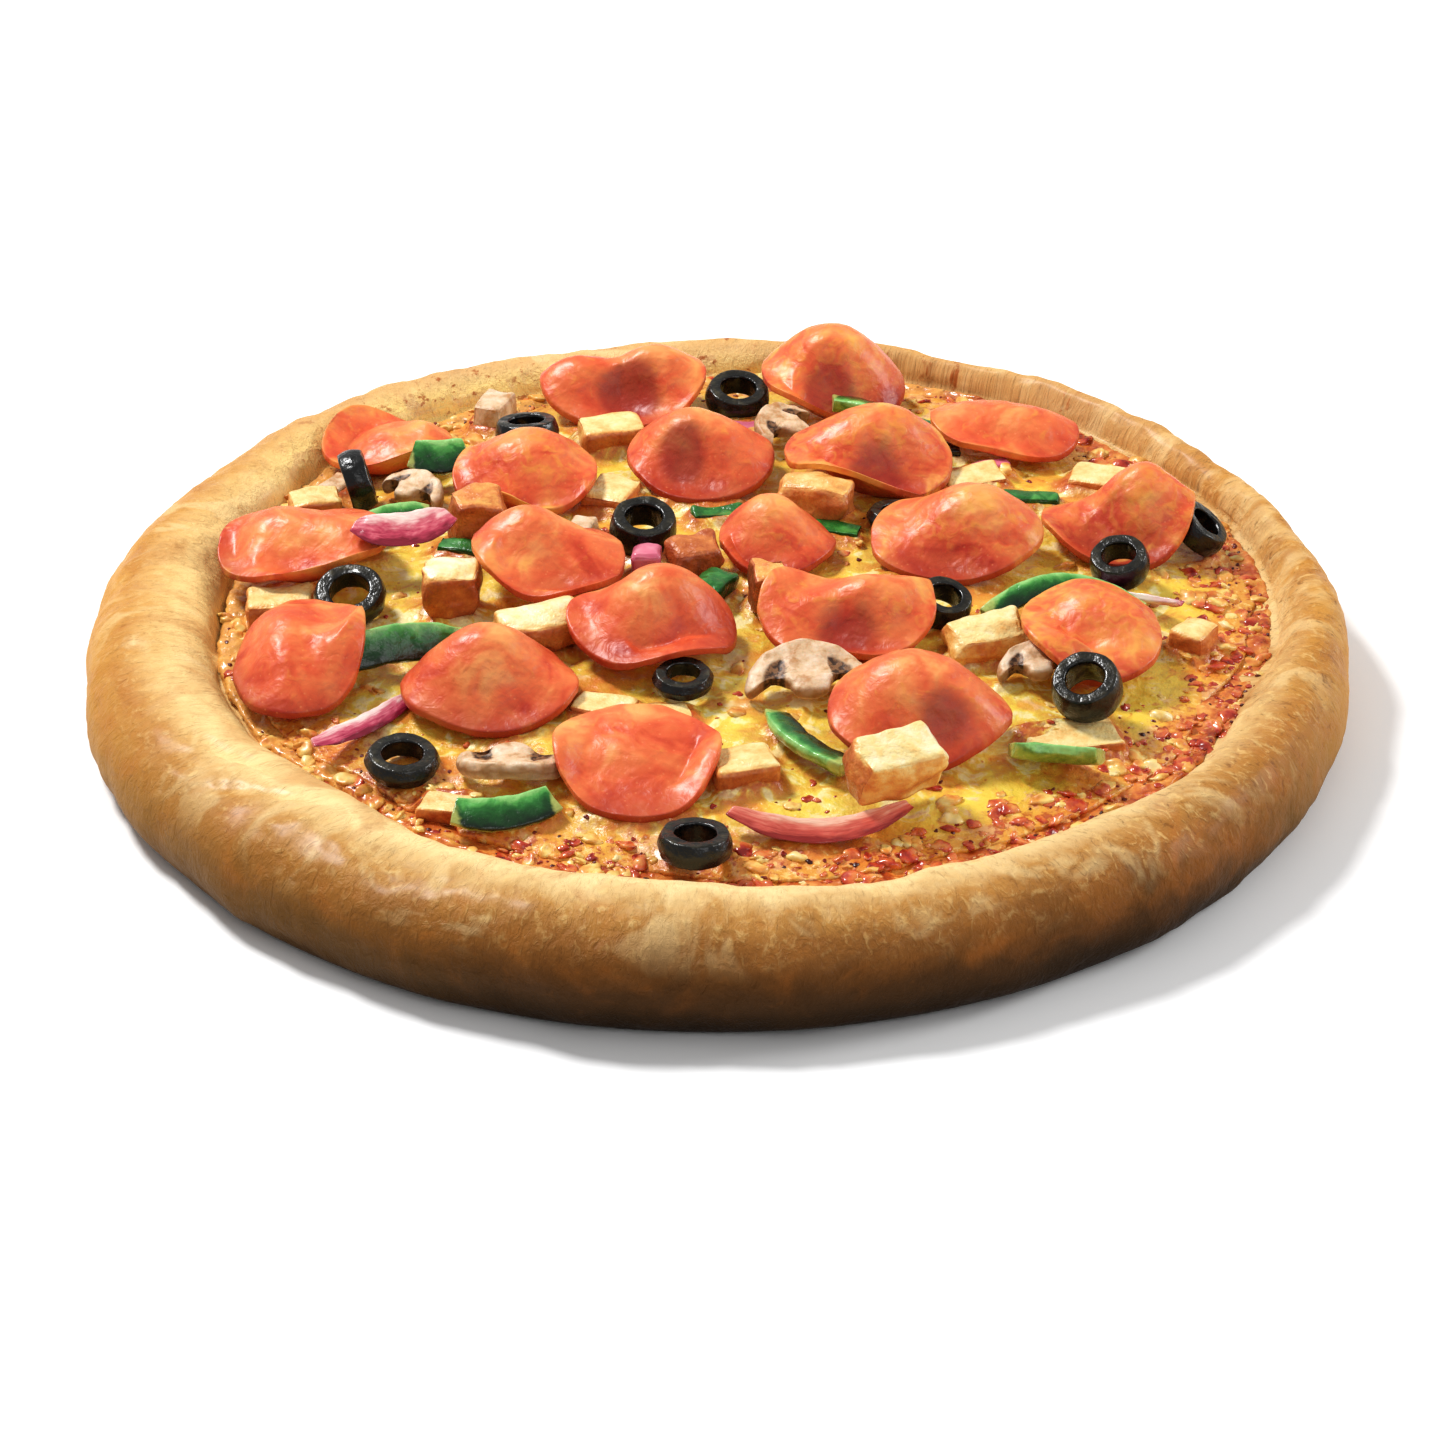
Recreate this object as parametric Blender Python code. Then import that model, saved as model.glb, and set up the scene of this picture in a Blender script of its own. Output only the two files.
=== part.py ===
# A twelve inch pan pizza: a thick round crust with a puffed rim, tomato sauce, melted cheese,
# and pepperoni, olives, mushrooms, green pepper, red onion and chicken lying on the cheese.
# Metres, +Z up. The origin is the middle of the flat underside of the crust, and the side of
# the pizza that faces the viewer is at -Y.
import math

import bmesh
import bpy
from mathutils import Matrix, Vector, noise
from mathutils.bvhtree import BVHTree

# Crust
PIZZA_RADIUS = 0.150
RIM_HEIGHT = 0.0252
FRONT_RISE = 0.0014
BULGE_HEIGHT = 0.0115
BASE_INSET = 0.008
DOUGH_FLOOR = 0.0140
FILLING_CENTRE = Vector((0.006, 0.011))
FILLING_RADIUS = 0.127
RIM_TOP_SHARE = 0.52
CRUST_SECTORS = 76
QUADRANT_STEPS = 4

# Sauce and cheese
GAP = 0.0003
SAUCE_THICKNESS = 0.0022
CHEESE_EDGE = 0.0022
CHEESE_SWELL = 0.0034
CHEESE_MARGIN = 0.0055
CHEESE_LIFT = 0.0006
SAUCE_SEAM = 0.0006
FILLING_SECTORS = 64
FILLING_RINGS = 10

# Relief, as noise slice, wavelength and amplitude. Where it runs round an edge, the wavelength is on a
# circle of radius 1.
FILLING_WAVER = (0.3, 0.22, 0.0015)
OUTER_WAVER = (2.1, 0.9, 0.0012)
RIM_WAVER = (4.7, 0.5, 0.0016)
CHEESE_LOBES = (7.2, 0.16, 0.0034)
CHEESE_WAVER = (1.4, 0.07, 0.0012)
DOUGH_SWELLS = (0, 0.026, 0.0016)
DOUGH_BUBBLES = (0, 0.011, 0.0006)
SAUCE_LUMPS = (0, 0.006, 0.0036)
CHEESE_SWELLS = (0.5, 0.021, 0.0012)
CHEESE_BUBBLES = (0.9, 0.009, 0.0005)

# Toppings
SHARP_ANGLE = 50
PEPPERONI_THICKNESS = 0.0018
PEPPERONI_SECTORS = 14
PEPPERONI_RINGS = 5
SWELL_BLEND = 3  # the higher, the less that swells which meet add up
OLIVE_HOLE_SHARE = 0.54
OLIVE_SECTORS = 11
MUSHROOM_THICKNESS = 0.0045
PEPPER_THICKNESS = 0.0042
ONION_THICKNESS = 0.0026
DROP_HEIGHT = 0.070
DROP_STEP = 0.0004
BIT_SINK = 0.0016
CHUNK_WOBBLE = (0, 0.6, 0.15)

# Dough folds that push in over the filling: angle in degrees, inward push and half width in degrees.
DOUGH_FOLDS = (
    (-18, 0.0050, 7),
    (-52, 0.0025, 9),
    (-95, 0.0020, 12),
    (222, 0.0035, 10),
    (168, 0.0025, 12),
    (98, 0.0030, 14),
)

# Colours as seen, roughness
LOOKS = {
    "crust": ((0.86, 0.65, 0.38), 0.75),
    "sauce": ((0.72, 0.22, 0.10), 0.35),
    "cheese": ((0.95, 0.80, 0.40), 0.40),
    "pepperoni": ((0.87, 0.30, 0.18), 0.30),
    "olive": ((0.05, 0.05, 0.06), 0.20),
    "mushroom": ((0.84, 0.72, 0.54), 0.55),
    "pepper": ((0.22, 0.52, 0.20), 0.28),
    "onion": ((0.74, 0.25, 0.42), 0.30),
    "chicken": ((0.93, 0.77, 0.50), 0.55),
}

# Pepperoni slices: x, y, half width, half depth, then how the slice has cupped in the oven, as
# round swells and dents: across and away from the slice's middle as shares of its size, height, reach.
PEPPERONI = (
    (-0.015, -0.020, 0.0205, 0.0175,
     ((0.1, 0.25, 0.019, 0.95), (-0.5, -0.2, 0.008, 0.7), (0.6, -0.3, 0.004, 0.6))),
    (0.030, -0.013, 0.0215, 0.0155,
     ((0.35, 0.25, 0.013, 0.85), (-0.5, 0.15, 0.009, 0.8), (0, -0.45, -0.003, 0.5))),
    (-0.040, 0.012, 0.0190, 0.0185,
     ((-0.35, 0.3, 0.018, 0.85), (0.4, 0.1, 0.011, 0.8), (-0.4, -0.45, 0.008, 0.6))),
    (0.057, 0.027, 0.0215, 0.0165,
     ((0.25, 0.3, 0.016, 0.95), (-0.6, 0, 0.006, 0.6), (0.6, -0.25, 0.009, 0.6))),
    (-0.004, 0.068, 0.0190, 0.0165,
     ((-0.15, 0.3, 0.015, 1.0), (0.45, 0, 0.010, 0.75), (-0.25, -0.5, -0.004, 0.5))),
    (0.037, 0.067, 0.0215, 0.0180,
     ((0.15, 0.4, 0.016, 0.95), (-0.5, 0.2, 0.010, 0.75), (0.25, -0.5, -0.004, 0.5))),
    (-0.047, 0.058, 0.0185, 0.0165,
     ((0, 0.3, 0.015, 1.1), (0.5, -0.2, 0.007, 0.7))),
    (0.014, 0.026, 0.0145, 0.0140,
     ((-0.1, 0.3, 0.013, 0.95), (0.45, -0.2, 0.006, 0.7))),
    (-0.024, 0.111, 0.0220, 0.0155,
     ((-0.6, 0.15, 0.014, 0.8), (0.4, 0.25, 0.016, 0.85), (0.1, -0.5, -0.005, 0.5))),
    (0.029, 0.112, 0.0190, 0.0170,
     ((0, 0.3, 0.020, 1.15), (-0.1, -0.6, -0.005, 0.5))),
    (0.072, 0.089, 0.0195, 0.0150,
     ((-0.3, 0.2, 0.009, 1.0), (0.4, 0.1, 0.009, 0.9), (-0.2, -0.9, 0.003, 0.5))),
    (-0.083, 0.085, 0.0170, 0.0170,
     ((-0.3, 0.5, 0.005, 0.9), (0.2, 0.1, 0.006, 0.9))),
    (0.097, 0.038, 0.0190, 0.0175,
     ((0.4, 0.2, 0.020, 0.85), (-0.5, 0.1, 0.007, 0.7))),
    (-0.100, 0.025, 0.0215, 0.0180,
     ((-0.35, 0.3, 0.014, 0.95), (0.45, 0, 0.012, 0.85), (-0.6, -0.4, 0.007, 0.7))),
    (-0.097, -0.026, 0.0160, 0.0225,
     ((-0.25, 0.15, 0.014, 1.0), (0.65, 0.4, 0.008, 0.7), (-0.2, -0.55, 0.009, 0.7))),
    (-0.052, -0.041, 0.0210, 0.0170,
     ((-0.1, 0.25, 0.016, 0.95), (0.65, -0.2, 0.006, 0.6), (-0.5, -0.3, 0.007, 0.7))),
    (0.087, -0.020, 0.0170, 0.0190,
     ((0, 0.4, 0.013, 0.9), (0.6, 0.1, 0.012, 0.7), (0.5, -0.5, 0.008, 0.7))),
    (0.045, -0.058, 0.0215, 0.0165,
     ((0, 0.3, 0.018, 1.1), (-0.5, -0.1, 0.009, 0.7), (0.55, -0.2, 0.011, 0.7))),
    (-0.018, -0.073, 0.0195, 0.0190,
     ((-0.1, 0.6, 0.007, 1.1), (-0.6, 0.2, 0.004, 0.7))),
)

# Olive slices: x, y, turn, tilt, outer radius, height. Those laid before the pepperoni.
OLIVES_UNDER = (
    (0.005, 0.108, 20, 10, 0.0090, 0.0055),
    (-0.048, 0.088, 200, 12, 0.0088, 0.0062),
    (0.044, 0.041, 150, 8, 0.0085, 0.0040),
    (0.117, 0.037, 80, 40, 0.0078, 0.0055),
    (0.053, -0.005, 40, 18, 0.0075, 0.0060),
    (-0.008, -0.040, 0, 4, 0.0075, 0.0038),
    (-0.071, -0.068, 20, 5, 0.0092, 0.0045),
    (-0.005, -0.104, 170, 6, 0.0092, 0.0055),
    (-0.018, 0.031, 15, 12, 0.0090, 0.0070),
    (-0.0885, 0.056, 100, 75, 0.0085, 0.0060),
    (-0.087, 0.001, 350, 22, 0.0094, 0.0052),
)
OLIVES_OVER = (
    (0.096, 0.016, 330, 18, 0.0080, 0.0060),
    (0.084, -0.047, 335, 24, 0.0090, 0.0075),
)

# Mushroom slices: x, y, turn, tilt, width, stem length.
MUSHROOMS_UNDER = (
    (0.021, -0.042, 8, 14, 0.031, 0.005),
    (-0.046, -0.070, 178, 6, 0.027, 0.002),
    (0.074, -0.034, 12, 14, 0.020, 0.003),
    (-0.076, 0.055, 320, 8, 0.019, 0.004),
    (0.018, 0.088, 60, 14, 0.021, 0.006),
)

# Green pepper strips: x, y, turn, tilt, length, width, bend in degrees.
PEPPERS_UNDER = (
    (-0.069, 0.067, 5, 45, 0.014, 0.0085, 20),
    (-0.080, 0.041, 32, 40, 0.020, 0.0070, -25),
    (-0.076, -0.025, 18, 55, 0.034, 0.0090, -20),
    (-0.047, -0.090, 14, 30, 0.023, 0.0080, 25),
    (0.018, -0.066, 124, 16, 0.027, 0.0070, -30),
    (0.076, -0.068, 172, 35, 0.020, 0.0095, 15),
    (0.081, 0.002, 4, 30, 0.036, 0.0060, -50),
)
PEPPERS_OVER = ((0.036, 0.094, 155, 16, 0.014, 0.0070, 25),)

# Red onion strips: x, y, turn, tilt, length, width, bend in degrees.
ONIONS_UNDER = (
    (-0.080, -0.051, 46, 18, 0.030, 0.0055, 15),
    (0.023, -0.097, 4, 24, 0.040, 0.0065, 38),
)
ONIONS_OVER = (
    (-0.075, 0.020, 14, 28, 0.024, 0.0095, 30),
    (0.093, 0.007, 165, 30, 0.036, 0.0060, 35),
)

# Chicken pieces: x, y, turn, tilt, length, width, height.
CHICKEN_UNDER = (
    (-0.0585, 0.037, 12, 4, 0.014, 0.011, 0.0120),
    (-0.063, 0.001, 6, 4, 0.015, 0.012, 0.0125),
    (-0.006, 0.017, 20, 6, 0.014, 0.011, 0.0095),
    (0.012, 0.001, 95, 6, 0.014, 0.010, 0.0115),
    (0.024, 0.047, 165, 8, 0.019, 0.012, 0.0095),
    (0.062, -0.020, 20, 6, 0.020, 0.013, 0.0085),
    (-0.042, -0.016, 20, 4, 0.022, 0.013, 0.0090),
)
CHICKEN_OVER = ((0.039, -0.084, 25, 16, 0.022, 0.013, 0.0130),)

# Smaller pieces melted into the cheese: kind, x, y, turn, length, width, height.
BITS = (
    ("chicken", -0.027, 0.088, 15, 0.016, 0.012, 0.0100),
    ("chicken", -0.104, 0.005, 5, 0.016, 0.011, 0.0085),
    ("chicken", -0.026, 0.055, 70, 0.014, 0.012, 0.0085),
    ("chicken", 0.006, -0.074, 15, 0.015, 0.012, 0.0095),
    ("chicken", 0.080, -0.056, 12, 0.022, 0.012, 0.0050),
    ("chicken", 0.112, -0.011, 60, 0.011, 0.009, 0.0085),
    ("chicken", -0.012, -0.050, 15, 0.012, 0.007, 0.0050),
    ("chicken", -0.026, -0.047, 160, 0.014, 0.009, 0.0055),
    ("chicken", -0.099, 0.053, 15, 0.013, 0.010, 0.0100),
    ("chicken", 0.063, 0.066, 20, 0.016, 0.010, 0.0060),
    ("chicken", 0.095, 0.068, 160, 0.015, 0.011, 0.0070),
    ("chicken", -0.060, -0.082, 345, 0.013, 0.009, 0.0045),
    ("mushroom", -0.057, 0.104, 70, 0.012, 0.008, 0.0110),
    ("mushroom", -0.095, 0.068, 60, 0.010, 0.006, 0.0050),
    ("mushroom", -0.033, 0.035, 80, 0.009, 0.006, 0.0080),
    ("olive", 0.055, 0.080, 10, 0.011, 0.007, 0.0060),
    ("pepper", 0.028, 0.038, 165, 0.014, 0.006, 0.0045),
    ("pepper", -0.001, 0.005, 60, 0.010, 0.008, 0.0070),
    ("pepper", 0.077, 0.056, 175, 0.014, 0.005, 0.0050),
    ("pepper", -0.029, -0.005, 150, 0.009, 0.005, 0.0045),
    ("pepper", -0.062, 0.029, 160, 0.012, 0.005, 0.0045),
    ("pepper", 0.050, 0.093, 140, 0.010, 0.006, 0.0060),
    ("pepper", 0.000, 0.046, 5, 0.012, 0.005, 0.0040),
    ("onion", 0.008, 0.096, 5, 0.015, 0.005, 0.0035),
    ("onion", -0.017, 0.015, 85, 0.007, 0.007, 0.0095),
    ("onion", -0.073, 0.088, 130, 0.011, 0.006, 0.0055),
    ("onion", 0.068, 0.073, 25, 0.010, 0.004, 0.0050),
)


def clear_scene():
    for obj in list(bpy.data.objects):
        bpy.data.objects.remove(obj)


def linear(channel):
    """A colour channel as seen, turned into the linear light that a shader works in."""
    return channel / 12.92 if channel <= 0.04045 else ((channel + 0.055) / 1.055) ** 2.4


def make_material(name):
    colour, roughness = LOOKS[name]
    material = bpy.data.materials.new(name)
    material.use_nodes = True
    shader = material.node_tree.nodes["Principled BSDF"]
    shader.inputs["Base Color"].default_value = (*map(linear, colour), 1)
    shader.inputs["Roughness"].default_value = roughness
    shader.inputs["Metallic"].default_value = 0
    material.diffuse_color = (*colour, 1)
    return material


def object_from(name, points, faces, material):
    """A named object whose mesh has these world points and faces, facing out and shaded smooth."""
    mesh = bpy.data.meshes.new(name)
    mesh.from_pydata([tuple(p) for p in points], [], faces)
    build = bmesh.new()
    build.from_mesh(mesh)
    bmesh.ops.recalc_face_normals(build, faces=build.faces)
    build.to_mesh(mesh)
    build.free()
    mesh.shade_smooth()
    mesh.set_sharp_from_angle(angle=math.radians(SHARP_ANGLE))
    mesh.materials.append(material)
    obj = bpy.data.objects.new(name, mesh)
    bpy.context.scene.collection.objects.link(obj)
    return obj


def ripple(x, y, z, relief):
    """Smooth relief at a place: noise of the given wavelength, from -amplitude to amplitude."""
    shift, wavelength, amplitude = relief
    return amplitude * noise.noise(Vector((x, y, z + shift)) / wavelength)


def waver(angle, relief):
    """The same round a circle of radius 1, for edges that run all the way round."""
    return ripple(math.cos(angle), math.sin(angle), 0, relief)


def bell(distance, width):
    return math.exp(-((distance / width) ** 2))


def angle_between(a, b):
    return (a - b + 180) % 360 - 180


def filling_radius(angle):
    """How far the filling's edge lies from the pizza's centre. The filling sits a little off centre."""
    along = Vector((math.cos(angle), math.sin(angle)))
    offset = FILLING_CENTRE.dot(along)
    reach = offset + math.sqrt(FILLING_RADIUS**2 - FILLING_CENTRE.length_squared + offset**2)
    for fold, push, width in DOUGH_FOLDS:
        reach -= push * bell(angle_between(math.degrees(angle), fold), width)
    return reach + waver(angle, FILLING_WAVER)


def rim_section(angle):
    """The crust's section at an angle, from the underside's edge, over the rim, to the filling."""
    outer = PIZZA_RADIUS + waver(angle, OUTER_WAVER)
    inner = filling_radius(angle)
    height = RIM_HEIGHT - FRONT_RISE * math.sin(angle) + waver(angle, RIM_WAVER)
    top = inner + RIM_TOP_SHARE * (outer - inner)
    section = []
    for step in range(QUADRANT_STEPS):
        turn = math.radians(-90 + 90 * step / QUADRANT_STEPS)
        section.append((outer - BASE_INSET * (1 - math.cos(turn)), BULGE_HEIGHT * (1 + math.sin(turn))))
    for step in range(QUADRANT_STEPS):
        turn = math.radians(90 * step / QUADRANT_STEPS)
        rise = (height - BULGE_HEIGHT) * math.sin(turn)
        section.append((top + (outer - top) * math.cos(turn), BULGE_HEIGHT + rise))
    for step in range(QUADRANT_STEPS + 1):
        turn = math.radians(90 * step / QUADRANT_STEPS)
        rise = (height - DOUGH_FLOOR) * math.cos(turn)
        section.append((top - (top - inner) * math.sin(turn), DOUGH_FLOOR + rise))
    return section


def make_crust(material):
    """Sections all round, joined into a ring, closed by the flat underside and the dough floor."""
    points = []
    faces = []
    size = 3 * QUADRANT_STEPS + 1
    for sector in range(CRUST_SECTORS):
        angle = 2 * math.pi * sector / CRUST_SECTORS
        for place, (reach, z) in enumerate(rim_section(angle)):
            x, y = reach * math.cos(angle), reach * math.sin(angle)
            if 0 < place < size - 2:
                swell = ripple(x, y, z, DOUGH_SWELLS) + ripple(x, y, z, DOUGH_BUBBLES)
                x += swell * math.cos(angle)
                y += swell * math.sin(angle)
                z += 0.6 * swell
            points.append((x, y, z))
        for place in range(size - 1):
            here = sector * size + place
            there = (sector + 1) % CRUST_SECTORS * size + place
            faces.append((here, there, there + 1, here + 1))
    underside = len(points)
    points += [(0, 0, 0), (*FILLING_CENTRE, DOUGH_FLOOR)]
    for sector in range(CRUST_SECTORS):
        here = sector * size
        there = (sector + 1) % CRUST_SECTORS * size
        faces.append((underside, there, here))
        faces.append((underside + 1, here + size - 1, there + size - 1))
    return object_from("crust", points, faces, material)


def ring_patches(rings, sectors):
    """Triangles of a disc whose points are its middle and then each ring."""
    patches = []
    for s in range(sectors):
        after = (s + 1) % sectors
        patches.append((0, 1 + s, 1 + after))
        for ring in range(1, rings):
            inner, outer = 1 + (ring - 1) * sectors, 1 + ring * sectors
            patches.append((inner + s, outer + s, outer + after))
            patches.append((inner + s, outer + after, inner + after))
    return patches


def disc_spots(rings, sectors, place):
    """place(share, angle) at the middle, where share is 0, and round each ring, up to share 1."""
    spots = [place(0, 0)]
    for ring in range(1, rings + 1):
        spots += [place(ring / rings, 2 * math.pi * s / sectors) for s in range(sectors)]
    return spots


def slice_solid(rings, sectors, place):
    """A thin slice with both faces split into triangles alike. place gives x, y, lower and upper z."""
    size = rings * sectors + 1
    spots = disc_spots(rings, sectors, place)
    points = [(x, y, low) for x, y, low, _ in spots] + [(x, y, high) for x, y, _, high in spots]
    patches = ring_patches(rings, sectors)
    faces = [tuple(reversed(p)) for p in patches] + [tuple(i + size for i in p) for p in patches]
    last = 1 + (rings - 1) * sectors
    for s in range(sectors):
        after = (s + 1) % sectors
        faces.append((last + s, last + after, last + after + size, last + s + size))
    return points, faces


def layer_solid(rings, sectors, low, place):
    """A layer with a flat underside at low. place gives x, y and the height of its top."""
    spots = disc_spots(rings, sectors, place)
    size = len(spots)
    last = 1 + (rings - 1) * sectors
    points = spots + [(x, y, low) for x, y, _ in spots[last:]] + [(*spots[0][:2], low)]
    faces = ring_patches(rings, sectors)
    for s in range(sectors):
        after = (s + 1) % sectors
        faces.append((size + s, size + after, last + after, last + s))
        faces.append((size + sectors, size + after, size + s))
    return points, faces


def cheese_radius(angle):
    return filling_radius(angle) - CHEESE_MARGIN + waver(angle, CHEESE_LOBES) + waver(angle, CHEESE_WAVER)


def make_sauce(material):
    """Flat where the cheese covers it, lumpy where it shows between the cheese and the rim."""
    low = DOUGH_FLOOR + GAP

    def place(share, angle):
        inside = cheese_radius(angle) + SAUCE_SEAM
        outside = filling_radius(angle) - SAUCE_SEAM
        ring = round(share * 3)
        reach = (0, inside, 0.5 * (inside + outside), outside)[ring]
        x, y = reach * math.cos(angle), reach * math.sin(angle)
        lump = abs(ripple(x, y, 0, SAUCE_LUMPS)) if ring > 1 else 0
        return x, y, low + SAUCE_THICKNESS + lump

    points, faces = layer_solid(3, FILLING_SECTORS, low, place)
    return object_from("sauce", points, faces, material)


def cheese_top(x, y, share):
    """Height of the melted cheese, which thins to a rounded edge and swells among the toppings."""
    body = CHEESE_EDGE + CHEESE_SWELL * (1 - share**2)
    drop = 1 - share**6
    relief = ripple(x, y, 0, CHEESE_SWELLS) + ripple(x, y, 0, CHEESE_BUBBLES)
    return DOUGH_FLOOR + SAUCE_THICKNESS + 2 * GAP + CHEESE_LIFT + (body + relief) * drop


def make_cheese(material):
    def place(share, angle):
        reach = cheese_radius(angle) * share**0.9
        x, y = reach * math.cos(angle), reach * math.sin(angle)
        return x, y, cheese_top(x, y, share)

    low = DOUGH_FLOOR + SAUCE_THICKNESS + 2 * GAP
    points, faces = layer_solid(FILLING_RINGS, FILLING_SECTORS, low, place)
    return object_from("cheese", points, faces, material)


def block(length, width, height, seed, cuts=1):
    """A torn or cut chunk: a rounded block whose corners and faces are uneven."""
    build = bmesh.new()
    bmesh.ops.create_cube(build, size=1)
    if cuts:
        bmesh.ops.subdivide_edges(build, edges=build.edges, cuts=cuts, use_grid_fill=True)
    points = []
    for v in build.verts:
        rounding = 1 - 0.10 * (sum(abs(c) > 0.4 for c in v.co) - 1)
        at = v.co + Vector((0, seed, 3 * seed))
        wobble = [ripple(at.x + 7 * axis, at.y, at.z, CHUNK_WOBBLE) for axis in range(3)]
        spot = v.co * rounding + Vector(wobble)
        points.append(Vector((spot.x * length, spot.y * width, spot.z * height)))
    faces = [tuple(v.index for v in f.verts) for f in build.faces]
    build.free()
    return points, faces


def turned(section, sectors):
    """A closed section, given as (radius, z) points, turned about Z."""
    size = len(section)
    points = []
    faces = []
    for s in range(sectors):
        angle = 2 * math.pi * s / sectors
        points += [Vector((r * math.cos(angle), r * math.sin(angle), z)) for r, z in section]
        after = (s + 1) % sectors
        for i in range(size):
            j = (i + 1) % size
            faces.append((s * size + i, after * size + i, after * size + j, s * size + j))
    return points, faces


def olive_ring(radius, height):
    """A slice through a stoned olive: a barrel side, two cut faces and the round hole."""
    hole = OLIVE_HOLE_SHARE * radius
    half = height / 2
    section = [(hole, -half), (0.90 * radius, -half), (radius, 0), (0.86 * radius, half), (hole, half)]
    return turned(section, OLIVE_SECTORS)


def strip(length, width, thickness, bend, taper, sides, steps):
    """A strip with a rounded section that bends across the table, its ends narrowed by taper."""
    points = []
    faces = []
    for i in range(steps + 1):
        along = 2 * i / steps - 1
        heading = math.radians(bend) * along
        sag = 0.5 * length * along
        centre = Vector((sag, 0.25 * length * math.radians(bend) * along**2, 0))
        across = Vector((-math.sin(heading), math.cos(heading), 0))
        keep = 1 - taper * along**4
        for k in range(sides):
            turn = 2 * math.pi * (k + 0.5) / sides
            side = 0.5 * width * keep * math.cos(turn) * 1.15
            rise = 0.5 * thickness * keep * math.sin(turn) * 1.15 + 0.08 * width * math.cos(2 * turn)
            points.append(centre + across * side + Vector((0, 0, rise)))
    for i in range(steps):
        for k in range(sides):
            a, b = i * sides + k, i * sides + (k + 1) % sides
            faces.append((a, b, b + sides, a + sides))
    faces.append(tuple(reversed(range(sides))))
    faces.append(tuple(range(steps * sides, (steps + 1) * sides)))
    return points, faces


def mushroom_outline(width, stem_length):
    """A slice through cap and stem, seen flat: cap above, lips curled in to the gills, then the stem."""
    cap = 0.42 * width
    stem = 0.15 * width
    right = [(stem, -stem_length), (0.92 * stem, -0.02 * width)]
    right += [(0.31 * width, 0.05 * width), (0.46 * width, -0.06 * width)]
    for turn in range(0, 90, 18):
        right.append((0.5 * width * math.cos(math.radians(turn)), cap * math.sin(math.radians(turn))))
    return right + [(0, cap)] + [(-x, y) for x, y in reversed(right)]


def mushroom_slice(width, stem_length):
    """The outline given thickness, rounded over at its edges, and cupped a little."""
    outline = mushroom_outline(width, stem_length)
    size = len(outline)
    points = []
    for level, keep in ((-0.5, 0.93), (0.0, 1.0), (0.5, 0.93)):
        for x, y in outline:
            cup = 0.10 * width * (2 * x / width) ** 2
            points.append(Vector((x * keep, y * keep, level * MUSHROOM_THICKNESS - cup)))
    faces = [tuple(reversed(range(size))), tuple(range(2 * size, 3 * size))]
    for level in range(2):
        for i in range(size):
            j = (i + 1) % size
            faces.append((level * size + i, level * size + j, (level + 1) * size + j, (level + 1) * size + i))
    return points, faces


def cupping(swells, p, q):
    """Height that the slice's swells and dents give it at p across and q away, each from -1 to 1."""
    raised = sunk = 0
    for at_p, at_q, height, reach in swells:
        share = math.hypot(p - at_p, q - at_q) / reach
        level = height * max(0, 1 - share * share)
        if height > 0:
            raised += level**SWELL_BLEND
        else:
            sunk += level
    return raised ** (1 / SWELL_BLEND) + sunk


class Table:
    """What has been laid down so far, so that each new piece can be rested on it."""

    def __init__(self):
        self.trees = []

    def add(self, points, faces):
        self.trees.append(BVHTree.FromPolygons([Vector(p) for p in points], faces))

    def height(self, x, y, layers=None):
        """The highest surface at a place, of all that is laid down or of its first layers."""
        tops = [0]
        for tree in self.trees[:layers]:
            hit = tree.ray_cast(Vector((x, y, DROP_HEIGHT)), Vector((0, 0, -1)))[0]
            if hit is not None:
                tops.append(hit.z)
        return max(tops)

    def touching(self, points, faces):
        """Faces of a piece, grown by the gap, that cut into what is laid down."""
        mine = BVHTree.FromPolygons(grown(points, faces), faces)
        return {mine_face for tree in self.trees for mine_face, _ in mine.overlap(tree)}


def grown(points, faces):
    """The points moved out along their normals by the gap."""
    normals = [Vector() for _ in points]
    for face in faces:
        corners = [Vector(points[i]) for i in face]
        normal = sum((a.cross(b) for a, b in zip(corners, corners[1:] + corners[:1])), Vector())
        for i in face:
            normals[i] += normal.normalized()
    return [Vector(p) + n.normalized() * GAP for p, n in zip(points, normals)]


def posed(points, x, y, turn, tilt):
    """Points tilted about the piece's own length, turned, and moved to a place."""
    spin = Matrix.Rotation(math.radians(turn), 4, "Z") @ Matrix.Rotation(math.radians(tilt), 4, "X")
    return [spin @ p + Vector((x, y, 0)) for p in points]


def settled(table, points, faces):
    """The piece lowered from above until it would touch something."""
    lowest = min(p.z for p in points)
    lift = DROP_HEIGHT - lowest
    while not table.touching([p + Vector((0, 0, lift - DROP_STEP)) for p in points], faces):
        lift -= DROP_STEP
    return [p + Vector((0, 0, lift)) for p in points]


def lay(table, name, points, faces, material, x, y, turn, tilt):
    """Rests a stiff piece on what is already there."""
    points = settled(table, posed(points, x, y, turn, tilt), faces)
    table.add(points, faces)
    return object_from(name, points, faces, material)


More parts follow.
